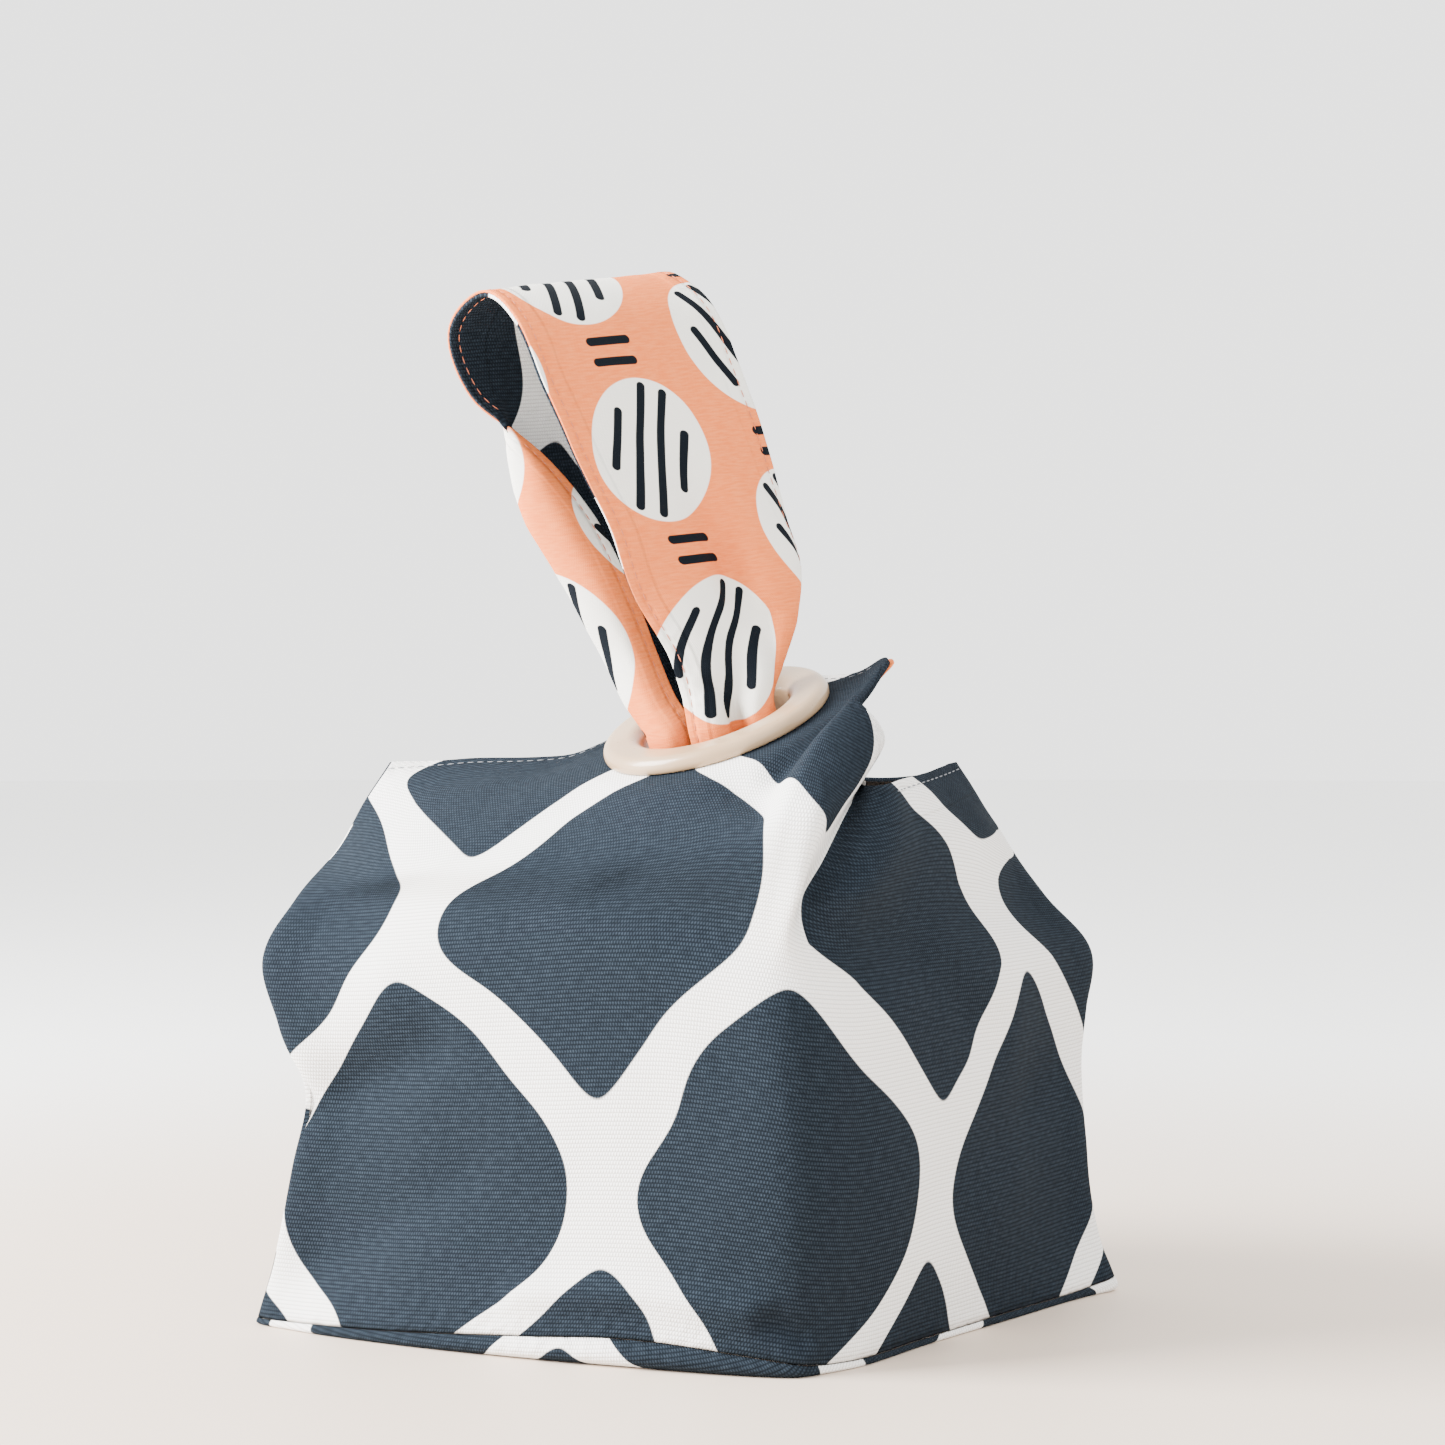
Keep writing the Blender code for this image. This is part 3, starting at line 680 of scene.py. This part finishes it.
class Shader:
    """Adds nodes to a new material and joins them up."""

    def __init__(self, name):
        self.material = bpy.data.materials.new(name)
        self.material.use_nodes = True
        self.tree = self.material.node_tree
        self.surface = self.tree.nodes["Principled BSDF"]

    def node(self, kind, inputs, output=0, **settings):
        made = self.tree.nodes.new(kind)
        for key, value in settings.items():
            setattr(made, key, value)
        for key, value in inputs.items():
            self.feed(made.inputs[key], value)
        return Value(self, made.outputs[output])

    def feed(self, socket, value):
        if isinstance(value, Value):
            self.tree.links.new(value.socket, socket)
        elif socket.type == "RGBA":
            socket.default_value = (*value, 1.0)
        else:
            socket.default_value = value

    def math(self, operation, *values):
        return self.node("ShaderNodeMath", dict(enumerate(values)), operation=operation)

    def vector(self, operation, *values):
        return self.node("ShaderNodeVectorMath", dict(enumerate(values)), operation=operation)

    def noise(self, vector, scale, detail=2.0, output="Fac"):
        inputs = {"Vector": vector, "Scale": scale, "Detail": detail}
        return self.node("ShaderNodeTexNoise", inputs, output)

    def step(self, value, low, high):
        """0 at low and 1 at high, eased between."""
        inputs = {"Value": value, "From Min": low, "From Max": high}
        return self.node("ShaderNodeMapRange", inputs, interpolation_type="SMOOTHSTEP")

    def mix(self, share, first, second):
        inputs = {0: share, 6: first, 7: second}  # the colour sockets of the mix node
        return self.node("ShaderNodeMix", inputs, 2, data_type="RGBA")

    def split(self, vector):
        """A vector's two parts."""
        part = self.node("ShaderNodeSeparateXYZ", {"Vector": vector}, "X")
        return part, Value(self, part.socket.node.outputs["Y"])

    def flat_cloth(self):
        """The place on the flat cloth, in millimetres, as a vector and its two parts."""
        place = self.node("ShaderNodeUVMap", {}, uv_map="flat_cloth")
        inputs = {"Vector": place, "Scale": 1 / MM}
        place = self.node("ShaderNodeVectorMath", inputs, operation="SCALE")
        return place, *self.split(place)

    def weave(self, u, v, pitch, rib, bead_depth=0.35, roundness=0.8):
        """Height of a plain weave whose crossways threads show as rows of beads, from 0 to 1."""
        row = v / rib
        odd = row.math("FLOOR") * 0.5
        bead = ((u / pitch + odd) * math.tau).math("COSINE")
        bead = bead.times_plus(bead_depth, 1 - bead_depth)
        thread = abs((row * math.pi).math("SINE"))
        return thread.math("POWER", roundness) * bead

    def slubs(self, place, across, along):
        """Streaks along the threads, from uneven yarn."""
        stretched = self.vector("MULTIPLY", place, (across, along, 1.0))
        return self.noise(stretched, 1.0, 3.0)

    def bump(self, height, distance, strength, **more):
        inputs = {"Height": height, "Distance": distance, "Strength": strength, **more}
        return self.node("ShaderNodeBump", inputs)

    def attribute(self, name):
        return self.node("ShaderNodeAttribute", {}, "Fac", attribute_name=name)

    def near(self, distance, centre, width):
        """1 at that distance, easing to 0 a width from it."""
        return self.step(abs(distance - centre), width, 0.0)

    def sewn(self, place, normal, hem_width):
        """The relief of a turned and topstitched hem and of puckers beside the sewing."""
        layer_rise, groove_depth, pucker_rise = 0.45, 0.4, 1.1
        hem, seam = self.attribute("from_hem"), self.attribute("from_seam")
        ridge = self.step(hem, hem_width + 0.8, hem_width - 0.4) * layer_rise
        groove = self.near(hem, STITCH_LINE, 1.3) * -groove_depth
        pucker = self.noise(place, 0.22, 1.0) * pucker_rise
        beside = self.near(hem, STITCH_LINE, 9.0) + self.near(seam, 0.0, 15.0)
        height = pucker.times_plus(beside, ridge + groove)
        return self.bump(height, MM, 0.9, Normal=normal)

    def finish(self, colour, roughness, normal=None, **plain):
        self.feed(self.surface.inputs["Base Color"], colour)
        self.feed(self.surface.inputs["Roughness"], roughness)
        if normal is not None:
            self.feed(self.surface.inputs["Normal"], normal)
        for key, value in plain.items():
            self.surface.inputs[key.replace("_", " ")].default_value = value
        return self.material


def trellis(shader, place, u, v):
    """A wavy ogee trellis: 1 on its bands, 0 in its cells."""
    spacing, height, swing, shift = 60.0, 164.0, 27.0, 15.0
    sway_reach, rounding = 26.0, 16.0
    narrowest, widening, blur = 3.0, 9.0, 0.25
    sway = shader.noise(place, 0.012, 1.0, "Color")
    sway_u, sway_v = shader.split(shader.vector("SUBTRACT", sway, (0.5, 0.5, 0.5)))
    u = sway_u.times_plus(sway_reach, u + shift)
    v = sway_v.times_plus(sway_reach, v)
    phase = v * (math.tau / height)
    wave = phase.math("SINE") * swing
    rise = phase.math("COSINE") * (swing * math.tau / height)
    length = rise.times_plus(rise, 1.0).math("SQRT")
    other = u - spacing + wave
    gaps = [abs(side.math("WRAP", spacing, -spacing)) / length for side in (u - wave, other)]
    gap = shader.math("SMOOTH_MIN", *gaps, rounding)
    width = shader.noise(place, 0.018, 1.0).times_plus(widening, narrowest)
    return shader.step(gap - width, blur, -blur)


def canvas_relief(shader):
    """The canvas's place on the flat cloth, its print and the height of its weave."""
    place, u, v = shader.flat_cloth()
    printed = trellis(shader, place, u, v)
    return place, printed, shader.weave(u, v, pitch=0.9, rib=1.2)


def canvas_material(cloth):
    shader = Shader("canvas_front")
    place, printed, weave = canvas_relief(shader)
    slub = shader.slubs(place, across=0.3, along=0.9)
    # Painted highlight: the navy is lightened on the weave's raised crossings, more where the yarn
    # slubs, standing in for light on the thread crowns
    painted_crown_sheen = weave * shader.step(slub, 0.3, 0.7).times_plus(0.5, 0.5)
    dark = shader.mix(painted_crown_sheen, cloth.navy, cloth.navy_sheen_shade_and_bleed)
    # Painted shade: the white bands are darkened in the weave's hollows between the threads
    light = shader.mix(shader.step(weave, 0.0, 0.5), cloth.white_in_painted_shade, cloth.white)
    colour = shader.mix(printed, dark, light)
    height = slub.times_plus(0.25, weave)
    normal = shader.sewn(place, shader.bump(height, 0.25 * MM, 0.9), hem_width=12.5)
    return shader.finish(colour, 0.92, normal, Specular_IOR_Level=0.06)


def reverse_material(cloth):
    shader = Shader("canvas_reverse")
    place, printed, weave = canvas_relief(shader)
    dyed = printed.times_plus(-0.35, 0.35)
    shown = shader.mix(dyed, cloth.greige, cloth.navy_sheen_shade_and_bleed)
    # Painted shade: the reverse is darkened towards navy in the weave's hollows, under white and
    # navy print alike
    colour = shader.mix(weave.times_plus(0.4, 0.6), cloth.navy_sheen_shade_and_bleed, shown)
    normal = shader.bump(weave, 0.25 * MM, 0.9)
    return shader.finish(colour, 0.92, normal, Specular_IOR_Level=0.06)


def bar(shader, across, along, place, half):
    """A pair of round-ended bars either side of a middle line: 1 on them."""
    x = across - place
    y = (along - half).math("MAXIMUM", 0.0)
    reach = x.times_plus(x, y * y).math("SQRT")
    return shader.step(reach, 1.5, 1.2)


def oval_print(shader, u, v):
    """Half-drop ovals with bars in them and dashes between: how much of an oval and of a bar."""
    across, down, tilt, shift = 44.0, 62.0, math.radians(24), 8.0
    half_width, half_height = 18.5, 23.0
    u = u + shift
    column = ((u + across / 2) / across).math("FLOOR")
    odd = abs(column).math("MODULO", 2.0)
    x = u.math("WRAP", across / 2, -across / 2)
    y = odd.times_plus(down / 2, v).math("WRAP", down / 2, -down / 2)
    sine = odd.times_plus(-2 * math.sin(tilt), math.sin(tilt))
    turned_x = x * math.cos(tilt) - y * sine
    turned_y = x.times_plus(sine, y * math.cos(tilt))
    wide, high = turned_x / half_width, turned_y / half_height
    oval = shader.step(wide.times_plus(wide, high * high), 1.02, 0.98)
    from_middle, from_centre = abs(turned_x), abs(turned_y)
    long_bars = bar(shader, from_middle, from_centre, place=3.4, half=20.0)
    short_bars = bar(shader, from_middle, from_centre, place=10.6, half=9.0)
    from_edge = shader.math("SUBTRACT", down / 2, abs(y))
    dashes = bar(shader, from_edge, abs(x), place=3.2, half=6.0)
    return oval, long_bars.math("MAXIMUM", short_bars).math("MAXIMUM", dashes)


def cotton_material(cloth):
    shader = Shader("cotton_front")
    place, u, v = shader.flat_cloth()
    oval, bars = oval_print(shader, u, v)
    weave = shader.weave(u, v, pitch=0.5, rib=0.45)
    slub = shader.slubs(place, across=0.25, along=1.6)
    ground = shader.mix(shader.step(slub, 0.3, 0.7), cloth.peach, cloth.peach_pale)
    colour = shader.mix(oval, ground, cloth.oval)
    colour = shader.mix(bars, colour, cloth.bars)
    height = slub.times_plus(0.8, weave)
    normal = shader.sewn(place, shader.bump(height, 0.1 * MM, 0.7), hem_width=7.0)
    return shader.finish(colour, 0.85, normal, Specular_IOR_Level=0.1)


def ivory_material(ring):
    shader = Shader("glossy_ivory")
    place = shader.node("ShaderNodeTexCoord", {}, "Object")
    cloud = shader.noise(place, 60.0, 3.0)
    colour = shader.mix(shader.step(cloud, 0.3, 0.7), ring.ivory, ring.ivory_deep)
    roughness = shader.noise(place, 900.0, 2.0).times_plus(0.12, 0.24)
    normal = shader.bump(shader.noise(place, 160.0, 2.0), 0.1 * MM, 0.3)
    return shader.finish(colour, roughness, normal, Specular_IOR_Level=0.5, Coat_Weight=0.25)


def thread_material(name, colour, shaded=0.72):
    shader = Shader(name)
    place = shader.node("ShaderNodeTexCoord", {}, "Object")
    twist = shader.noise(place, 2600.0, 2.0)
    shade = shader.mix(shader.step(twist, 0.2, 0.8), [c * shaded for c in colour], colour)
    normal = shader.bump(twist, 0.1 * MM, 0.6)
    return shader.finish(shade, 0.6, normal, Specular_IOR_Level=0.4)


def material(name, make, cloth):
    """A finish that several pieces share, made once."""
    found = bpy.data.materials.get(name)
    return found if found else make(cloth)


def in_canvas(sheet, cloth):
    """Makes a sheet of printed canvas, with its dyed reverse."""
    sheet.data.materials.append(material("canvas_front", canvas_material, cloth))
    thicken(sheet, cloth.canvas, reverse=material("canvas_reverse", reverse_material, cloth))


# The panel's values


def length_prop(name, description, default):
    return bpy.props.FloatProperty(
        name=name, description=description, default=default, unit="LENGTH"
    )


def colour_prop(name, description, default):
    limits = {"size": 3, "min": 0.0, "max": 1.0}
    return bpy.props.FloatVectorProperty(
        name=name, description=description, default=default, subtype="COLOR", **limits
    )


class BagCloth(bpy.types.PropertyGroup):
    canvas: length_prop("Canvas", "Thickness of the body canvas", 0.0014)
    cotton: length_prop("Cotton", "Thickness of the lining cotton", 0.0007)
    stitch: length_prop("Stitch", "Length of one topstitch", 0.0026)
    navy: colour_prop("Navy", "Ground of the canvas print", (0.0045, 0.0065, 0.0095))
    # Painted highlight on the face's raised weave, painted shade in the reverse's weave hollows,
    # and print showing through on the reverse
    navy_sheen_shade_and_bleed: colour_prop("Navy fleck", "The yarn's core showing", (0.026, 0.037, 0.051))
    white: colour_prop("White", "Bands of the canvas print", (0.89, 0.88, 0.86))
    # Painted shade laid in the hollows of the white bands' weave
    white_in_painted_shade: colour_prop("White hollow", "Between the bands' threads", (0.60, 0.58, 0.56))
    greige: colour_prop("Greige", "Reverse of the canvas", (0.50, 0.45, 0.40))
    peach: colour_prop("Peach", "Ground of the cotton print", (0.72, 0.16, 0.036))
    peach_pale: colour_prop("Pale peach", "Thinner yarn of the cotton", (0.78, 0.21, 0.06))
    oval: colour_prop("Ovals", "Ovals of the cotton print", (0.80, 0.78, 0.72))
    bars: colour_prop("Bars", "Dark bars of the cotton print", (0.002, 0.004, 0.007))
    thread: colour_prop("Thread", "Topstitching of the body", (0.16, 0.17, 0.19))
    strap_thread: colour_prop("Strap thread", "Topstitching of the strap", (0.60, 0.17, 0.08))


class BagRing(bpy.types.PropertyGroup):
    segments: bpy.props.IntProperty(
        name="Segments", description="Steps round the ring", default=128, min=24
    )
    ivory: colour_prop("Ivory", "The ring's plastic", (0.45, 0.31, 0.185))
    ivory_deep: colour_prop("Deep ivory", "Its darker clouding", (0.40, 0.265, 0.15))


class BagStage(bpy.types.PropertyGroup):
    floor: colour_prop("Floor", "Floor round the bag", (0.68, 0.56, 0.46))
    haze: colour_prop("Haze", "Floor far away and the room", (0.92, 0.92, 0.91))
    lens: bpy.props.FloatProperty(
        name="Lens", description="Camera's focal length", default=80.0, subtype="DISTANCE_CAMERA"
    )


# What the panel builds


class BAG_OT_body(bpy.types.Operator):
    """Builds the body panels as one printed sheet with its folds and creases"""

    bl_idname = "bag.body"
    bl_label = "Body panels"

    def execute(self, context):
        points, around, up, _ = dressed_body()
        hole = ring_hole(points, radius=28.0, depth=8)
        distances = {"from_hem": up[-1:] - up, "from_seam": up}

        def places(column):
            return around[wall_of(column)], up

        body = cloth_grid("body_cloth", points, places, distances, hole, close=True)
        in_canvas(body, context.scene.bag_cloth)
        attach(body, "root")
        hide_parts("body_panels")
        return {"FINISHED"}


class BAG_OT_base(bpy.types.Operator):
    """Builds the base panel, which swells out under its seam and lies flat"""

    bl_idname = "bag.base"
    bl_label = "Base panel"

    def execute(self, context):
        turns, swell, tuck = 8, 0.4, 0.5
        rim = dressed_body()[0][0, :-1]
        outward = unit(rim * (1, 1, 0))
        lift = rim[:, 2:] - LAYER_GAP
        rings = []
        for step in range(turns + 1):
            bend = math.radians(90) * step / turns
            reach = swell * math.sin(2 * bend) - tuck * (1 - math.sin(bend))
            loop = rim + outward * lift * reach
            loop[:, 2] = lift[:, 0] * (1 - math.cos(bend))
            rings.append(loop)
        flat = rings[0]
        centre = np.array((8.0, 0.0, 0.0))
        for share in (0.97, 0.9, 0.75, 0.55, 0.3, 0.1):
            rings.insert(0, centre + (flat - centre) * share)
        points = wrapped(np.array(rings))[::-1]
        from_seam = distance_along(points, 0)
        beyond = np.maximum(from_seam[turns] - from_seam, 0.0)[..., None]
        unrolled = points[turns] + np.append(outward, outward[:1], axis=0) * beyond
        laid = np.where(beyond > 0, unrolled, points)
        around, up = laid[..., 0], laid[..., 1]
        distances = {"from_seam": from_seam}
        base = cloth_grid("base_cloth", points, lambda column: (around, up), distances, close=True)
        mesh = bmesh.new()
        mesh.from_mesh(base.data)
        low = {vert for vert in mesh.verts if vert.co.z < 1e-6}
        inner = [edge for edge in mesh.edges if edge.is_boundary and low.issuperset(edge.verts)]
        filled = bmesh.ops.contextual_create(mesh, geom=inner)["faces"]
        uv = mesh.loops.layers.uv["flat_cloth"]
        for face in filled:
            for loop in face.loops:
                loop[uv].uv = loop.vert.co.xy
        bmesh.ops.recalc_face_normals(mesh, faces=mesh.faces)
        lowest = min(mesh.faces, key=lambda face: face.calc_center_median().z)
        if lowest.normal.z > 0:
            bmesh.ops.reverse_faces(mesh, faces=mesh.faces)
        mesh.to_mesh(base.data)
        mesh.free()
        in_canvas(base, context.scene.bag_cloth)
        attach(base, "root")
        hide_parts("base_panel")
        return {"FINISHED"}


class BAG_OT_flap_lining(bpy.types.Operator):
    """Builds the cotton that lines the flap, whose edge shows at the tip"""

    bl_idname = "bag.flap_lining"
    bl_label = "Flap lining"

    def execute(self, context):
        past_tip, gap = 6, 0.25
        rolled_out, rolled_at_tip, rolled_width = 0.2, 1.3, 10
        cloth = context.scene.bag_cloth
        points, _, _, normals = dressed_body()
        tip = COLUMNS["tip"]
        columns = np.arange(COLUMNS["front b"], tip + past_tip + 1)
        under = (points - normals * (cloth.canvas / MM + gap))[FLAP_ROW:, columns]
        out = unit(points[-1:, columns] - points[-3:-2, columns])
        rolled = rolled_out + rolled_at_tip * np.exp(-(((columns - tip) / rolled_width) ** 2))
        under[-1:] += out * rolled[None, :, None]
        hole = ring_hole(under, radius=27.0, depth=10)
        up = distance_along(under, 0)
        flat = (distance_along(under, 1) + LINING_CUT[0], up + LINING_CUT[1])
        distances = {"from_hem": up[-1:] - up}
        lining = cloth_grid("flap_lining_cloth", under, lambda column: flat, distances, hole)
        lining.data.materials.append(material("cotton_front", cotton_material, cloth))
        thicken(lining, cloth.cotton)
        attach(lining, "root")
        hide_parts("flap_lining")
        return {"FINISHED"}


class BAG_OT_strap(bpy.types.Operator):
    """Builds the strap's cotton face and its canvas back, gathered through the ring"""

    bl_idname = "bag.strap"
    bl_label = "Strap"

    def execute(self, context):
        cloth = context.scene.bag_cloth
        points, normals, across, along = dressed_strap()
        distances = {"from_hem": np.abs(across[:, -1:]) - np.abs(across)}
        cotton = material("cotton_front", cotton_material, cloth)
        duck = material("canvas_front", canvas_material, cloth)
        for name, side, thickness, node, slot, finish in (
            ("strap_cotton", 1, cloth.cotton, "strap_facing", "printed_lining", cotton),
            ("strap_duck", -1, cloth.canvas, "strap_canvas", "printed_canvas", duck),
        ):
            surface = points + normals * (side * LAYER_GAP / 4)
            flat = (across, along)
            if side < 0:
                surface = surface[:, ::-1]
                flat = (across[:, ::-1] + DUCK_CUT[0], along + DUCK_CUT[1])
            layer = cloth_grid(name, surface, lambda column, flat=flat: flat, distances)
            layer.data.materials.append(finish)
            thicken(layer, min(thickness, STRAP_LAYER * MM), offset=1.0)
            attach(layer, "root")
            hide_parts(node)
        return {"FINISHED"}


class BAG_OT_ring(bpy.types.Operator):
    """Builds the grommet's face and back washer"""

    bl_idname = "bag.ring"
    bl_label = "Grommet ring"

    def execute(self, context):
        ring = context.scene.bag_ring
        ivory = ivory_material(ring)
        below = -(CANVAS + LINING + 3 * LAYER_GAP)
        face = [(RING_BARREL, LAYER_GAP), (RING_OUTER - 0.5, LAYER_GAP)]
        face += round_corner((RING_OUTER - 3.2, 1.6), 3.2, -18, 90, 10)
        face += round_corner((RING_INNER + 4.3, 0.5), 4.3, 90, 180, 10)
        face += [(RING_INNER, below - 2.0), (RING_INNER + 0.2, below - 2.2)]
        face += [(RING_BARREL, below - 2.2)]
        front = turned_ring("grommet_face", face, ring.segments, ivory)
        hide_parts("ring_face")
        inner = RING_BARREL + LAYER_GAP
        back = [(inner, below), (inner, below - 1.6)]
        back += round_corner((RING_OUTER - 3.2, below - 0.7), 2.2, -80, 0, 8)
        back += [(RING_OUTER - 1.0, below)]
        washer = turned_ring("grommet_washer", back, ring.segments, ivory)
        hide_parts("ring_back")
        return {"FINISHED"}


class BAG_OT_stitching(bpy.types.Operator):
    """Sews the topstitching along the hems and the strap's edges"""

    bl_idname = "bag.stitching"
    bl_label = "Topstitching"

    def execute(self, context):
        after_pleat, before_tip, clear = 8, 3, 0.07
        cloth = context.scene.bag_cloth
        stitch = cloth.stitch / MM
        points, _, _, normals = dressed_body()
        bm = bmesh.new()
        line = row_at(points, points, STITCH_LINE)
        facing = row_at(points, normals, STITCH_LINE)
        start, end = COLUMNS["right a"] + after_pleat, COLUMNS["tip"] - before_tip
        run = np.r_[start : len(line) - 1, 0:end]
        sew(bm, line[run], facing[run], stitch, width=0.4, rise=0.22)
        thread = thread_material("canvas_thread", list(cloth.thread))
        stitch_piece("hem_stitching", bm, thread)

        points, normals = dressed_strap()[:2]
        grid = points.transpose(1, 0, 2)
        tilt = normals.transpose(1, 0, 2)
        bm = bmesh.new()
        for edge, facing in ((grid, tilt), (grid[::-1], tilt[::-1])):
            line = row_at(edge, edge, STITCH_LINE)
            up = row_at(edge, facing, STITCH_LINE)
            sew(bm, line + up * (clear + cloth.cotton / MM), up, stitch, width=0.34, rise=0.26)
            sew(bm, line - up * (clear + STRAP_LAYER), -up, stitch, width=0.34, rise=0.26)
        thread = thread_material("strap_thread", list(cloth.strap_thread))
        stitch_piece("strap_stitching", bm, thread)
        return {"FINISHED"}


class BAG_OT_stage(bpy.types.Operator):
    """Sets the floor, light and camera"""

    bl_idname = "bag.stage"
    bl_label = "Stage"

    def execute(self, context):
        stage = context.scene.bag_stage
        bm = bmesh.new()
        bmesh.ops.create_circle(bm, cap_ends=True, segments=96, radius=9.0)
        floor = piece_of("floor", bm, smooth=False)
        shader = Shader("pale_floor")
        place = shader.node("ShaderNodeTexCoord", {}, "Object")
        far = shader.node("ShaderNodeVectorMath", {0: place}, "Value", operation="LENGTH")
        colour = shader.mix(shader.step(far, 0.15, 0.9), stage.floor, stage.haze)
        floor.data.materials.append(shader.finish(colour, 0.55, Specular_IOR_Level=0.3))

        world = bpy.data.worlds.new("room")
        world.use_nodes = True
        sky = world.node_tree.nodes["Background"]
        sky.inputs["Color"].default_value = (*stage.haze, 1.0)
        sky.inputs["Strength"].default_value = 2.9
        context.scene.world = world

        for name, place, size, power in (
            ("window", (-1.3, -1.0, 0.9), 1.1, 210.0),
            ("fill", (1.3, -0.9, 0.7), 1.2, 4.0),
        ):
            light = bpy.data.lights.new(name, "AREA")
            light.size = size
            light.energy = power
            lamp = bpy.data.objects.new(name, light)
            lamp.location = place
            aim = Vector((0.0, 0.0, 0.12)) - Vector(place)
            lamp.rotation_euler = aim.to_track_quat("-Z", "Y").to_euler()
            context.scene.collection.objects.link(lamp)

        eye = bpy.data.cameras.new("camera")
        eye.lens = stage.lens
        eye.sensor_width = 36.0
        eye.sensor_fit = "HORIZONTAL"
        eye.clip_start = 0.01
        camera = bpy.data.objects.new("camera", eye)
        camera.location = (0.4708, -0.8578, 0.177)
        camera.rotation_euler = (math.radians(90), 0.0, math.radians(28))
        context.scene.collection.objects.link(camera)
        context.scene.camera = camera
        return {"FINISHED"}


class BAG_PT_panel(bpy.types.Panel):
    """Lists the bag's sizes, colours and pieces"""

    bl_idname = "BAG_PT_panel"
    bl_label = "Dumpling bag"
    bl_space_type = "VIEW_3D"
    bl_region_type = "UI"
    bl_category = "Bag"

    def draw(self, context):
        for name, group in GROUPS.items():
            for key in group.__annotations__:
                self.layout.prop(getattr(context.scene, name), key)
        for operator in OPERATORS:
            self.layout.operator(operator.bl_idname)


GROUPS = {"bag_cloth": BagCloth, "bag_ring": BagRing, "bag_stage": BagStage}
OPERATORS = (
    BAG_OT_body,
    BAG_OT_base,
    BAG_OT_flap_lining,
    BAG_OT_strap,
    BAG_OT_ring,
    BAG_OT_stitching,
    BAG_OT_stage,
)
CLASSES = (*GROUPS.values(), *OPERATORS, BAG_PT_panel)


def register():
    for item in CLASSES:
        bpy.utils.register_class(item)
    for name, group in GROUPS.items():
        setattr(bpy.types.Scene, name, bpy.props.PointerProperty(type=group))


def unregister():
    for name in reversed(GROUPS):
        delattr(bpy.types.Scene, name)
    for item in reversed(CLASSES):
        bpy.utils.unregister_class(item)


def main():
    register()
    bpy.ops.bag.body()
    bpy.ops.bag.base()
    bpy.ops.bag.flap_lining()
    bpy.ops.bag.strap()
    bpy.ops.bag.ring()
    bpy.ops.bag.stitching()
    bpy.ops.bag.stage()


if __name__ == "__main__":
    main()
